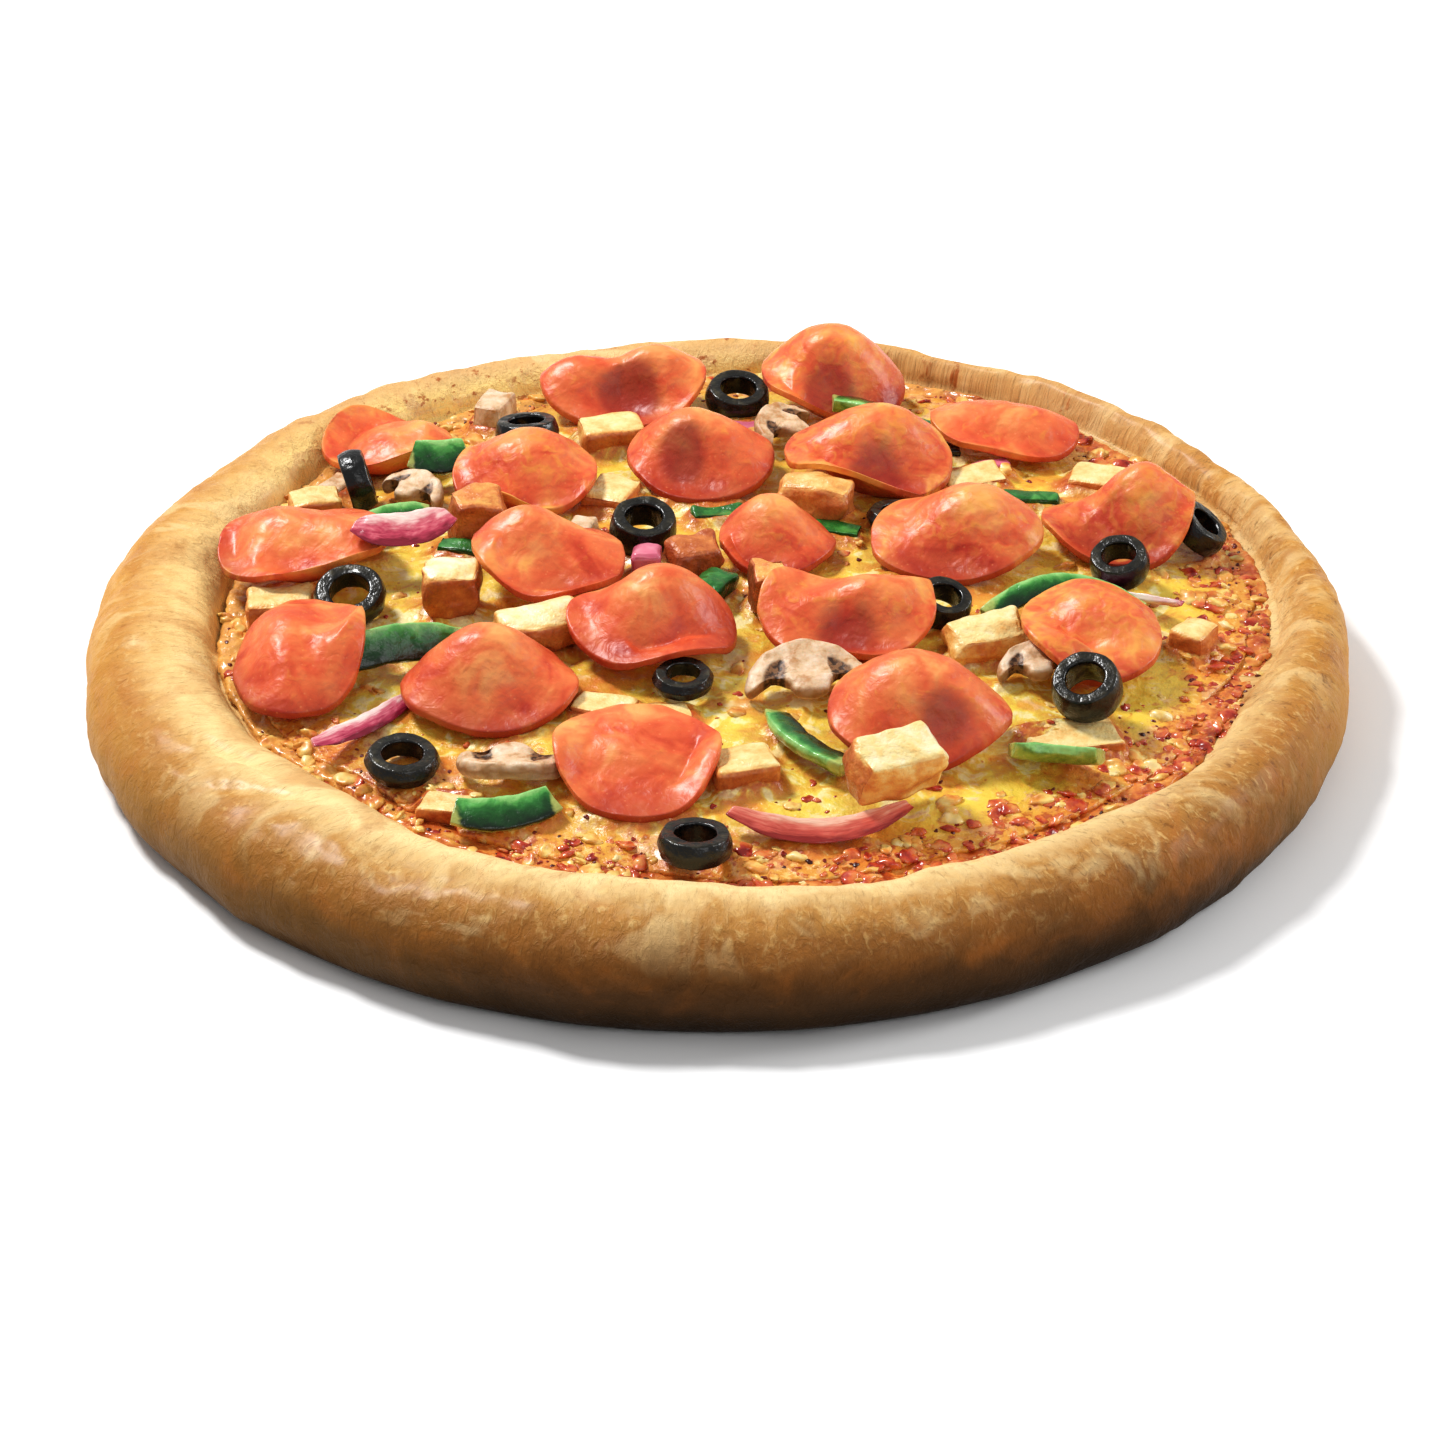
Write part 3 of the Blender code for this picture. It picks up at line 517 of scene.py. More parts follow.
def pepperoniPaint():
    paint = Paint("curedPepperoni", Coat_Weight=0.14, Coat_Roughness=0.24, Specular_IOR_Level=0.38)
    spot = paint.spot()
    oil = paint.own("oil")
    p, q, rise = paint.split(paint.own("slicePlace", "Vector"))
    edge = (p * p + q * q) ** 0.5
    mottle = paint.cloud(spot, 85, detail=3, roughness=0.6, bend=0.6)
    streaks = paint.cloud(spot, 300, detail=3, roughness=0.55, bend=0.8)
    grain = paint.cells(spot, 560)
    # mottled tone, shifted paler towards the slice's top as painted light
    colour = paint.ramp(
        mottle + (rise - 0.45) * 0.26,
        (
            (0.26, 192, 58, 36),
            (0.44, 224, 98, 58),
            (0.60, 234, 126, 74),
            (0.78, 246, 170, 102),
        ),
    )
    # painted shade: darker red towards the slice's lower edge
    colour = paint.mix(colour, seen(126, 30, 18), paint.span(rise, 0.42, 0.0) * 0.70)
    oily = paint.span(streaks + oil * 0.30, 0.64, 0.90) * paint.span(rise, 0.1, 0.7)
    colour = paint.mix(colour, seen(236, 152, 70), oily * 0.75)
    colour = paint.mix(colour, seen(240, 180, 84), paint.span(mottle + oil * 0.22, 0.72, 0.90) * 0.75)
    colour = paint.mix(colour, seen(248, 160, 104), paint.span(grain, 0.20, 0.08) * 0.25)
    greasy = paint.span(edge + (mottle - 0.5) * 1.0, 0.84, 1.0) * paint.span(rise, 0.25, 0.6)
    colour = paint.mix(colour, seen(240, 178, 84), greasy * oil * 0.8)
    # painted shade in each slice's hollow, darker red
    dipShade = paint.span(paint.own("hollow") + (mottle - 0.5) * 0.5, 0.30, 0.62)
    colour = paint.mix(colour, seen(150, 40, 32), dipShade * 0.75)
    relief = streaks * 0.7 + grain * 0.3
    return paint.finish(colour, 0.34 + mottle * 0.16, relief, 0.0004)


def sliceRules(node, x, y, halfWidth, halfDepth):   # a point's place in the slice and its share of the painted shade in its hollow
    low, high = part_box(node)
    dipP, dipQ, dark = pepperoni["hollowShades"].get(node, (0, 0, 0))

    def slicePlace(spot, normal):
        rise = (spot.z - low.z) / (high.z - low.z)
        return ((spot.x - x) / halfWidth, (spot.y - y) / halfDepth, rise)

    def hollow(spot, normal):
        p, q, rise = slicePlace(spot, normal)
        return dark * bell(math.hypot(p - dipP, q - dipQ), pepperoni["hollowShadeWidth"])

    return slicePlace, hollow


def makePepperoni():
    material = pepperoniPaint()
    for node, piece, (*place, oil) in roundedCopies(pepperoni, "pepperoniSlice"):
        slicePlace, hollow = sliceRules(node, *place)
        mark(piece, "slicePlace", slicePlace, "FLOAT_VECTOR")
        mark(piece, "hollow", hollow)
        mark(piece, "oil", lambda spot, normal: oil)
        dress(piece, material, "pepperoni", node)
    print("pepperoni done")


# Olives: x, y, turn, tilt and radius of each slice

olives = {
    "levels": 3,
    "sharp": 48,
    "crease": 0.7,
    "bumps": ((0.006, 0.0009), (0.0022, 0.0003)),
    "holeShare": 0.54,
    "fleshWidth": 0.17,        # of the ring of flesh on each cut face, as a share of the radius
    "slices": {
        "olive_01": (0.005, 0.108, 20, 10, 0.0090),
        "olive_02": (-0.048, 0.088, 200, 12, 0.0088),
        "olive_03": (0.044, 0.041, 150, 8, 0.0085),
        "olive_04": (0.117, 0.037, 80, 40, 0.0078),
        "olive_05": (0.053, -0.005, 40, 18, 0.0075),
        "olive_06": (-0.008, -0.040, 0, 4, 0.0075),
        "olive_07": (-0.071, -0.068, 20, 5, 0.0092),
        "olive_08": (-0.005, -0.104, 170, 6, 0.0092),
        "olive_09": (-0.018, 0.031, 15, 12, 0.0090),
        "olive_10": (-0.0885, 0.056, 100, 75, 0.0085),
        "olive_11": (-0.087, 0.001, 350, 22, 0.0094),
        "olive_12": (0.096, 0.016, 330, 18, 0.0080),
        "olive_13": (0.084, -0.047, 335, 24, 0.0090),
    },
}


def olivePaint():
    paint = Paint("blackOlive", Coat_Weight=0.25, Coat_Roughness=0.10)
    spot = paint.spot()
    flesh = paint.own("flesh")
    cloud = paint.cloud(spot, 380, detail=3, roughness=0.6)
    dark = ((0.3, 4, 4, 5), (0.6, 12, 12, 13), (0.8, 30, 30, 32))
    brown = ((0.3, 18, 16, 11), (0.55, 44, 40, 28), (0.8, 96, 88, 62))
    colour = paint.mix(paint.ramp(cloud, dark), paint.ramp(cloud, brown), flesh * 0.8)
    return paint.finish(colour, 0.20 + cloud * 0.2, cloud, 0.0005)


def fleshRule(own, spin, radius):   # 1 in the middle of the flesh on the cut faces, 0 on skin and hole
    middle = 0.5 * (1 + olives["holeShare"])

    def rule(spot, normal):
        facing = abs((spin @ normal).z)
        shown = bell(own(spot).xy.length / radius - middle, olives["fleshWidth"])
        return clamp((facing - 0.55) / 0.3) * clamp(shown * 1.3)

    return rule


def makeOlives():
    material = olivePaint()
    for node, piece, (*laid, radius) in roundedCopies(olives, "oliveRing"):
        mark(piece, "flesh", fleshRule(*ownFrame(piece, *laid), radius))
        dress(piece, material, "olive", node)
    print("olives done")
    return material


# Mushrooms: x, y, turn, tilt and width of each slice

mushrooms = {
    "levels": 3,
    "gillDepth": -0.0009,
    "capHalf": 0.50,           # this and the next five are shares of the width
    "capHeight": 0.42,
    "gillMiddle": 0.52,
    "gillWidth": 0.20,
    "stemHalf": 0.13,
    "gillFoot": -0.09,
    "bumps": ((0.0045, 0.0009), (0.0016, 0.0003)),
    "slices": {
        "mushroom_01": (0.021, -0.042, 8, 14, 0.031),
        "mushroom_02": (-0.046, -0.070, 178, 6, 0.027),
        "mushroom_03": (0.074, -0.034, 12, 14, 0.020),
        "mushroom_04": (-0.076, 0.055, 320, 8, 0.019),
        "mushroom_05": (0.018, 0.088, 60, 14, 0.021),
    },
}


def gillShare(place, width):   # 1 in the two dark bands of gills between cap and stem
    across = abs(place.x) / width
    up = place.y / width
    arch = math.hypot(across / mushrooms["capHalf"], max(0, up) / mushrooms["capHeight"])
    inArch = bell(arch - mushrooms["gillMiddle"], mushrooms["gillWidth"])
    besideStem = clamp((across - mushrooms["stemHalf"]) / 0.06)
    aboveFoot = clamp((up - mushrooms["gillFoot"]) / 0.04)
    return inArch * besideStem * aboveFoot


def mushroomPaint():
    inner = {"Subsurface_Weight": 0.08, "Subsurface_Scale": 0.002}
    paint = Paint("bakedMushroom", Coat_Weight=0.10, Coat_Roughness=0.3, **inner)
    spot = paint.spot()
    gills = paint.own("gills")
    rim = paint.own("rim")
    cloud = paint.cloud(spot, 260, detail=3, roughness=0.6)
    fine = paint.cloud(spot, 900, detail=2)
    colour = paint.ramp(cloud, ((0.3, 180, 138, 96), (0.48, 220, 186, 148), (0.75, 240, 220, 196)))
    colour = paint.mix(colour, seen(196, 138, 84), paint.span(cloud, 0.46, 0.28) * 0.7)
    colour = paint.mix(colour, seen(150, 98, 58), rim * 0.85)
    gillTone = paint.mix(seen(64, 40, 24), seen(136, 96, 62), paint.span(fine, 0.42, 0.60))
    colour = paint.mix(colour, gillTone, paint.span(gills + (cloud - 0.5) * 0.7, 0.30, 0.60))
    return paint.finish(colour, 0.5, cloud * 0.4 + fine * 0.6, 0.0004)


def makeMushrooms():
    material = mushroomPaint()
    for number, (node, (*laid, width)) in enumerate(mushrooms["slices"].items(), start=1):
        piece = takeCopy(node, f"mushroomSlice_{number:02d}")
        divide(piece, mushrooms["levels"])
        own, spin = ownFrame(piece, *laid)
        weigh(piece, "gillDent", lambda spot: gillShare(own(spot), width))
        apply(piece, "DISPLACE", strength=mushrooms["gillDepth"], mid_level=0, vertex_group="gillDent")
        roughen(piece, mushrooms["bumps"])
        mark(piece, "gills", lambda spot, normal: gillShare(own(spot), width))
        mark(piece, "rim", lambda spot, normal: clamp(1 - 1.6 * abs((spin @ normal).z)))
        dress(piece, material, "mushroom", node)
    print("mushrooms done")
    return material


# Strips of green pepper and red onion, each known by its place along, across and through


def markStrip(piece, x, y, turn, tilt, length, width, bend):
    own, spin = ownFrame(piece, x, y, turn, tilt)

    def rule(spot, normal):
        place = own(spot)
        along = 2 * place.x / length
        middle = 0.25 * length * math.radians(bend) * along * along
        return (along, 2 * (place.y - middle) / width, (spin @ normal).z)

    mark(piece, "stripPlace", rule, "FLOAT_VECTOR")


peppers = {
    "levels": 3,
    "sharp": 62,
    "crease": 0.6,
    "bumps": ((0.0060, 0.0012), (0.0022, 0.0004)),
    "slices": {                # x, y, turn, tilt, length, width, bend
        "pepper_01": (-0.069, 0.067, 5, 45, 0.014, 0.0085, 20),
        "pepper_02": (-0.080, 0.041, 32, 40, 0.020, 0.0070, -25),
        "pepper_03": (-0.076, -0.025, 18, 55, 0.034, 0.0090, -20),
        "pepper_04": (-0.047, -0.090, 14, 30, 0.023, 0.0080, 25),
        "pepper_05": (0.018, -0.066, 124, 16, 0.027, 0.0070, -30),
        "pepper_06": (0.076, -0.068, 172, 35, 0.020, 0.0095, 15),
        "pepper_07": (0.081, 0.002, 4, 30, 0.036, 0.0060, -50),
        "pepper_08": (0.036, 0.094, 155, 16, 0.014, 0.0070, 25),
    },
}


def pepperPaint():
    paint = Paint("greenPepperWall", Coat_Weight=0.30, Coat_Roughness=0.12)
    spot = paint.spot()
    along, across, facing = paint.split(paint.own("stripPlace", "Vector"))
    cloud = paint.cloud(spot, 230, detail=3, roughness=0.6, bend=0.5)
    fine = paint.cloud(spot, 800, detail=2)
    # green skin, darker along the strip's lower edge and lighter along its upper edge: partly its own tone,
    # partly painted shade and painted highlight
    skinWithPaintedShade = paint.ramp(
        across * 0.5 + 0.5 + (cloud - 0.5) * 0.75,
        (
            (0.10, 8, 34, 12),
            (0.38, 22, 74, 28),
            (0.62, 42, 112, 46),
            (0.80, 90, 168, 82),
            (0.98, 156, 212, 130),
        ),
    )
    wall = ((0.3, 96, 134, 48), (0.55, 150, 180, 84), (0.8, 206, 212, 136))
    colour = paint.mix(paint.ramp(cloud, wall), skinWithPaintedShade, paint.span(facing, -0.35, 0.05))
    ends = paint.span((along * along) ** 0.5 + (cloud - 0.5) * 0.3, 0.86, 0.98)
    colour = paint.mix(colour, seen(196, 200, 112), ends * 0.7)
    return paint.finish(colour, 0.22 + fine * 0.14, fine * 0.4 + cloud * 0.6, 0.0006)


def makePeppers():
    material = pepperPaint()
    for node, piece, strip in roundedCopies(peppers, "pepperStrip"):
        markStrip(piece, *strip)
        dress(piece, material, "green_pepper", node)
    print("peppers done")
    return material


onions = {
    "levels": 3,
    "sharp": 62,
    "crease": 0.45,
    "bumps": ((0.0050, 0.0009), (0.0018, 0.0003)),
    "slices": {                # how far its colour goes from magenta to brick, and the same as above
        "onion_01": (0.2, -0.080, -0.051, 46, 18, 0.030, 0.0055, 15),
        "onion_02": (0.9, 0.023, -0.097, 4, 24, 0.040, 0.0065, 38),
        "onion_03": (0.3, -0.075, 0.020, 14, 28, 0.024, 0.0095, 30),
        "onion_04": (0.1, 0.093, 0.007, 165, 30, 0.036, 0.0060, 35),
    },
}


def onionPaint():
    paint = Paint("redOnion", Coat_Weight=0.25, Coat_Roughness=0.12)
    along, across, facing = paint.split(paint.own("stripPlace", "Vector"))
    brick = paint.own("brick")
    streakSpot = paint.join(along * 0.9, across, facing * 0.3)
    streaks = paint.cloud(streakSpot, 2.6, detail=3, roughness=0.65, bend=0.3)
    cloud = paint.cloud(paint.spot(), 240, detail=2)
    level = across * 0.5 + 0.5 + (streaks - 0.5) * 1.1 + (cloud - 0.5) * 0.25
    pink = paint.ramp(
        level,
        (
            (0.10, 126, 26, 58),
            (0.34, 188, 60, 102),
            (0.54, 222, 124, 146),
            (0.72, 244, 200, 204),
            (0.98, 252, 236, 230),
        ),
    )
    red = paint.ramp(
        level,
        (
            (0.10, 150, 44, 36),
            (0.40, 206, 92, 72),
            (0.70, 228, 136, 108),
            (0.98, 248, 198, 170),
        ),
    )
    return paint.finish(paint.mix(pink, red, brick), 0.24, streaks * 0.6 + cloud * 0.4, 0.0005)


def makeOnions():
    material = onionPaint()
    for node, piece, (brick, *strip) in roundedCopies(onions, "onionStrip"):
        markStrip(piece, *strip)
        mark(piece, "brick", lambda spot, normal: brick)
        dress(piece, material, "red_onion", node)
    print("onions done")
    return material


# Chicken: how seared each cube is on its top, front, right and left

chicken = {
    "bevel": 0.0010,
    "sharp": 38,
    "levels": 3,
    "tears": ((0.0085, 0.0034), (0.0038, 0.0014)),
    "smoothing": 9,            # passes over the tears
    "grain": ((0.0016, 0.0003),),
    "pieces": {
        "chicken_01": (0.45, 0.62, 0.60, 0.70),
        "chicken_02": (0.05, 0.70, 0.75, 0.55),
        "chicken_03": (0.60, 0.75, 0.75, 0.70),
        "chicken_04": (0.40, 0.65, 0.05, 0.85),
        "chicken_05": (0.35, 0.55, 0.60, 0.50),
        "chicken_06": (0.20, 0.42, 0.45, 0.45),
        "chicken_07": (0.12, 0.60, 0.60, 0.45),
        "chicken_08": (0.15, 0.40, 0.05, 0.75),
    },
    "bitSear": (0.24, 0.64, 0.56, 0.50),
    "underSear": 0.9,
}


def chickenPaint():
    paint = Paint("roastChicken", Coat_Weight=0.2, Coat_Roughness=0.2)
    spot = paint.spot()
    sear = paint.own("sear")
    cloud = paint.cloud(spot, 240, detail=3, roughness=0.6)
    fine = paint.cloud(spot, 850, detail=2)
    colour = paint.ramp(
        sear + (cloud - 0.5) * 0.5 + (fine - 0.5) * 0.12,
        (
            (0.02, 250, 238, 206),
            (0.22, 246, 220, 152),
            (0.38, 236, 178, 98),
            (0.52, 216, 132, 70),
            (0.70, 176, 86, 42),
            (0.95, 100, 42, 20),
        ),
    )
    return paint.finish(colour, 0.40, cloud * 0.5 + fine * 0.5, 0.0008)


def seared(amounts):
    top, front, right, left = amounts

    def rule(spot, normal):
        parts = (
            (max(0, normal.z), top),
            (max(0, -normal.y), front),
            (max(0, normal.x), right),
            (max(0, -normal.x), left),
            (max(0, normal.y), front),
            (max(0, -normal.z), chicken["underSear"]),
        )
        return sum(part * part * value for part, value in parts)

    return rule


def tearChunk(piece):          # torn and rounded, but still a cube
    divide(piece, chicken["levels"], plain=True)
    roughen(piece, chicken["tears"])
    apply(piece, "SMOOTH", factor=0.5, iterations=chicken["smoothing"])
    roughen(piece, chicken["grain"])


def makeChicken():
    material = chickenPaint()
    for number, (node, amounts) in enumerate(chicken["pieces"].items(), start=1):
        piece = takeCopy(node, f"chickenCube_{number:02d}")
        sharp = math.radians(chicken["sharp"])
        apply(piece, "BEVEL", width=chicken["bevel"], segments=2, limit_method="ANGLE", angle_limit=sharp)
        tearChunk(piece)
        mark(piece, "sear", seared(amounts))
        dress(piece, material, "chicken", node)
    print("chicken done")
    return material


# Smaller pieces melted into the cheese: x, y, turn, length, width and height of each

bits = {
    "chicken": (
        (-0.027, 0.088, 15, 0.016, 0.012, 0.0100),
        (-0.104, 0.005, 5, 0.016, 0.011, 0.0085),
        (-0.026, 0.055, 70, 0.014, 0.012, 0.0085),
        (0.006, -0.074, 15, 0.015, 0.012, 0.0095),
        (0.080, -0.056, 12, 0.022, 0.012, 0.0050),
        (0.112, -0.011, 60, 0.011, 0.009, 0.0085),
        (-0.012, -0.050, 15, 0.012, 0.007, 0.0050),
        (-0.026, -0.047, 160, 0.014, 0.009, 0.0055),
        (-0.099, 0.053, 15, 0.013, 0.010, 0.0100),
        (0.063, 0.066, 20, 0.016, 0.010, 0.0060),
        (0.095, 0.068, 160, 0.015, 0.011, 0.0070),
        (-0.060, -0.082, 345, 0.013, 0.009, 0.0045),
    ),
    "mushroom": (
        (-0.057, 0.104, 70, 0.012, 0.008, 0.0110),
        (-0.095, 0.068, 60, 0.010, 0.006, 0.0050),
        (-0.033, 0.035, 80, 0.009, 0.006, 0.0080),
    ),
    "olive": (
        (0.055, 0.080, 10, 0.011, 0.007, 0.0060),
    ),
    "pepper": (
        (0.028, 0.038, 165, 0.014, 0.006, 0.0045),
        (-0.001, 0.005, 60, 0.010, 0.008, 0.0070),
        (0.077, 0.056, 175, 0.014, 0.005, 0.0050),
        (-0.029, -0.005, 150, 0.009, 0.005, 0.0045),
        (-0.062, 0.029, 160, 0.012, 0.005, 0.0045),
        (0.050, 0.093, 140, 0.010, 0.006, 0.0060),
        (0.000, 0.046, 5, 0.012, 0.005, 0.0040),
    ),
    "onion": (
        (0.008, 0.096, 5, 0.015, 0.005, 0.0035),
        (-0.017, 0.015, 85, 0.007, 0.007, 0.0095),
        (-0.073, 0.088, 130, 0.011, 0.006, 0.0055),
        (0.068, 0.073, 25, 0.010, 0.004, 0.0050),
    ),
}
bitBevel = 0.16                # as a share of the smallest side


def heightOn(tree, x, y):      # of the first thing met from above the pizza
    hit = tree.ray_cast(Vector((x, y, pizza["clearHeight"])), Vector((0, 0, -1)))[0]
    return hit.z if hit else None


def makeBit(top, x, y, turn, length, width, height):
    place = (x, y, top - height / 2)
    bpy.ops.mesh.primitive_cube_add(size=1, location=place, rotation=(0, 0, math.radians(turn)))
    piece = bpy.context.object
    piece.scale = (length, width, height)
    bpy.ops.object.transform_apply(location=True, rotation=True, scale=True)
    apply(piece, "BEVEL", width=bitBevel * min(length, width, height), segments=2)
    tearChunk(piece)
    return piece


def bitSkinShading(spot, normal):     # small strips show their skin with painted light: lighter where they face up, darker where they face down
    return (0.4, 0.5 * normal.z - 0.25, 1)


def makeBits(materials):
    tree = BVHTree.FromObject(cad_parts["cheese"], bpy.context.evaluated_depsgraph_get())
    slots = {"pepper": "green_pepper", "onion": "red_onion"}
    for kind, places in bits.items():
        pieces = []
        for x, y, *size in places:
            piece = makeBit(heightOn(tree, x, y), x, y, *size)
            if kind == "chicken":
                mark(piece, "sear", seared(chicken["bitSear"]))
            if kind in ("pepper", "onion"):
                mark(piece, "stripPlace", bitSkinShading, "FLOAT_VECTOR")
            pieces.append(piece)
        grab(*pieces)
        bpy.ops.object.join()
        whole = bpy.context.object
        whole.name = kind + "Bits"
        dress(whole, materials[kind], slots.get(kind, kind))
    print("bits done")


# Cheese

cheese = {
    "cell": 0.00080,           # spacing of its net
    "reach": 0.131,
    "dropHeight": 0.06,        # where the net falls from
    "missed": 0.05,            # what is still above this has no cheese below it
    "bitShare": 0.55,          # of a small piece's length, and a margin: the cheese that it hides
    "bitMargin": 0.0022,
    "bitSmoothing": 260,
    "smoothing": 10,
    "climb": 0.0018,           # how far it rises against a topping
    "climbFrom": 0.0032,
    "stainReach": 0.0080,
    "lumps": ((0.0090, 0.0016), (0.0040, 0.0013), (0.0016, 0.00040)),
    "skirt": 0.0020,
}


def cheesePaint():
    paint = Paint("meltedCheese", Coat_Weight=0.25, Coat_Roughness=0.15)
    spot = paint.spot()
    x, y, _ = paint.split(spot)
    centre = pizza["fillingCentre"]
    fromCentre = ((x - centre.x) ** 2 + (y - centre.y) ** 2) ** 0.5
    touch = paint.own("touch")
    stain = paint.own("stain")
    broad = paint.cloud(spot, 55, detail=3, roughness=0.55)
    patches = paint.cloud(spot, 150, detail=3, roughness=0.6, bend=0.6)
    fine = paint.cloud(spot, 480, detail=3, roughness=0.6)
    pits = paint.cells(spot, 260)
    colour = paint.ramp(
        patches,
        (
            (0.32, 226, 160, 74),
            (0.40, 240, 204, 78),
            (0.55, 244, 220, 92),
            (0.62, 250, 234, 168),
        ),
    )
    colour = paint.mix(colour, seen(226, 142, 64), paint.span(broad, 0.54, 0.62) * 0.60)
    colour = paint.mix(colour, seen(212, 112, 48), stain * paint.span(patches, 0.62, 0.46) * 0.85)
    # oil stain and painted shade where the cheese meets a topping
    colour = paint.mix(colour, seen(170, 62, 24), touch * paint.span(fine, 0.34, 0.58) * 0.75)
    colour = paint.mix(colour, seen(252, 240, 196), paint.span(fine, 0.62, 0.74) * 0.5)
    colour = paint.mix(colour, seen(190, 84, 28), paint.span(pits, 0.13, 0.04) * 0.6)
    border = paint.span(fromCentre + (patches - 0.5) * 0.034, 0.103, 0.117)
    colour = paint.mix(colour, seen(212, 112, 46), border * 0.65)
    colour = paint.mix(colour, seen(170, 50, 22), border * paint.span(fine, 0.52, 0.64) * 0.75)
    colour = paint.mix(colour, seen(250, 220, 140), border * paint.span(fine, 0.44, 0.34) * 0.6)
    return paint.finish(colour, 0.30 + fine * 0.12, fine * 0.6 + patches * 0.4, 0.0009)


def selectPoints(piece, rule):
    grab(piece)
    bpy.ops.object.mode_set(mode="EDIT")
    bpy.ops.mesh.select_mode(type="VERT")
    bpy.ops.mesh.select_all(action="DESELECT")
    bpy.ops.object.mode_set(mode="OBJECT")
    for point in piece.data.vertices:
        point.select = rule(point.co)
    bpy.ops.object.mode_set(mode="EDIT")


def underBits():               # 1 where the cheese lies under or close by a small piece
    footprints = []
    for places in bits.values():
        for x, y, _, length, width, _ in places:
            reach = cheese["bitShare"] * max(length, width) + cheese["bitMargin"]
            footprints.append((Vector((x, y)), reach))
    return lambda spot: 1 if any((spot.xy - centre).length < reach for centre, reach in footprints) else 0


def joinedCopy(pieces):        # one throwaway mesh of many pieces, for measuring against
    grab(*pieces)
    bpy.ops.object.duplicate()
    bpy.ops.object.join()
    return bpy.context.object


def closeBelow(piece, low):    # walls down from the open edge, and a flat underside
    grab(piece)
    bpy.ops.object.mode_set(mode="EDIT")
    bpy.ops.mesh.select_mode(type="EDGE")
    bpy.ops.mesh.select_all(action="DESELECT")
    bpy.ops.mesh.select_non_manifold()
    bpy.ops.mesh.extrude_edges_move()
    bpy.ops.object.mode_set(mode="OBJECT")
    for point in piece.data.vertices:
        if point.select:
            point.co.z = low
    bpy.ops.object.mode_set(mode="EDIT")
    bpy.ops.mesh.edge_face_add()
    bpy.ops.mesh.select_all(action="SELECT")
    bpy.ops.mesh.normals_make_consistent(inside=False)
    bpy.ops.object.mode_set(mode="OBJECT")


def makeCheese(toppings):
    steps = round(2 * cheese["reach"] / cheese["cell"])
    bpy.ops.mesh.primitive_grid_add(x_subdivisions=steps, y_subdivisions=steps, size=2 * cheese["reach"])
    piece = bpy.context.object
    piece.name = "meltedCheese"
    piece.location = (*pizza["fillingCentre"], cheese["dropHeight"])
    bpy.ops.object.transform_apply(location=True)
    apply(
        piece, "SHRINKWRAP", target=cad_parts["cheese"], wrap_method="PROJECT",
        use_project_z=True, use_positive_direction=False, use_negative_direction=True,
    )
    selectPoints(piece, lambda spot: spot.z > cheese["missed"])
    bpy.ops.mesh.delete(type="VERT")
    bpy.ops.object.mode_set(mode="OBJECT")
    weigh(piece, "underBits", underBits())
    apply(piece, "SMOOTH", factor=1.0, iterations=cheese["bitSmoothing"], vertex_group="underBits")
    apply(piece, "SMOOTH", factor=0.5, iterations=cheese["smoothing"])
    target = joinedCopy(toppings)
    for name, reach in (("near", cheese["climbFrom"]), ("stained", cheese["stainReach"])):
        weigh(piece, name, lambda spot: 1)
        apply(
            piece, "VERTEX_WEIGHT_PROXIMITY", vertex_group=name, target=target, proximity_mode="GEOMETRY",
            proximity_geometry={"FACE"}, min_dist=reach, max_dist=0.0, falloff_type="SMOOTH",
        )
    bpy.data.objects.remove(target)
    apply(piece, "DISPLACE", direction="Z", strength=cheese["climb"], mid_level=0, vertex_group="near")
    roughen(piece, cheese["lumps"], octaves=2)
    for name, source in (("touch", "near"), ("stain", "stained")):
        index = piece.vertex_groups[source].index
        layer = piece.data.attributes.new(name, "FLOAT", "POINT")
        for point, cell in zip(piece.data.vertices, layer.data):
            cell.value = next((g.weight for g in point.groups if g.group == index), 0)
    closeBelow(piece, pizza["doughFloor"] + cheese["skirt"])
    print("cheese", len(piece.data.polygons), "faces")
    return dress(piece, cheesePaint(), "cheese", "cheese")


# Sauce

sauce = {
    "levels": 4,
    "shownAbove": 0.0155,      # only its upper face is lumpy
    "lumps": ((0.0060, 0.0022), (0.0028, 0.0012), (0.0012, 0.0004)),
}


def saucePaint():
    paint = Paint("tomatoSauce", Coat_Weight=0.35, Coat_Roughness=0.15)
    spot = paint.spot()
    patches = paint.cloud(spot, 190, detail=3, roughness=0.6)
    fine = paint.cloud(spot, 700, detail=2)
    pulp = paint.cells(spot, 420)
    colour = paint.ramp(
        patches,
        (
            (0.28, 126, 34, 12),
            (0.42, 184, 82, 32),
            (0.56, 216, 128, 58),
            (0.72, 240, 178, 92),
        ),
    )
    x, y, _ = paint.split(spot)
    cheesy = paint.span(y * 0.8 - x + (patches - 0.5) * 0.16, -0.01, 0.07)
    colour = paint.mix(colour, seen(240, 196, 104), cheesy * 0.5)
    colour = paint.mix(colour, seen(104, 18, 8), paint.span(pulp, 0.22, 0.08) * 0.6)
    colour = paint.mix(colour, seen(246, 204, 124), paint.span(fine, 0.58, 0.72) * 0.5)
    return paint.finish(colour, 0.3, patches * 0.5 + fine * 0.5, 0.0006)


def makeSauce():
    piece = takeCopy("sauce", "tomatoSauce")
    divide(piece, sauce["levels"])
    weigh(piece, "shown", lambda spot: 1 if spot.z > sauce["shownAbove"] else 0)
    roughen(piece, sauce["lumps"], group="shown")
    print("sauce", len(piece.data.polygons), "faces")
    return dress(piece, saucePaint(), "sauce", "sauce")


# Crumbs scattered where the sauce shows and on the cheese's edge

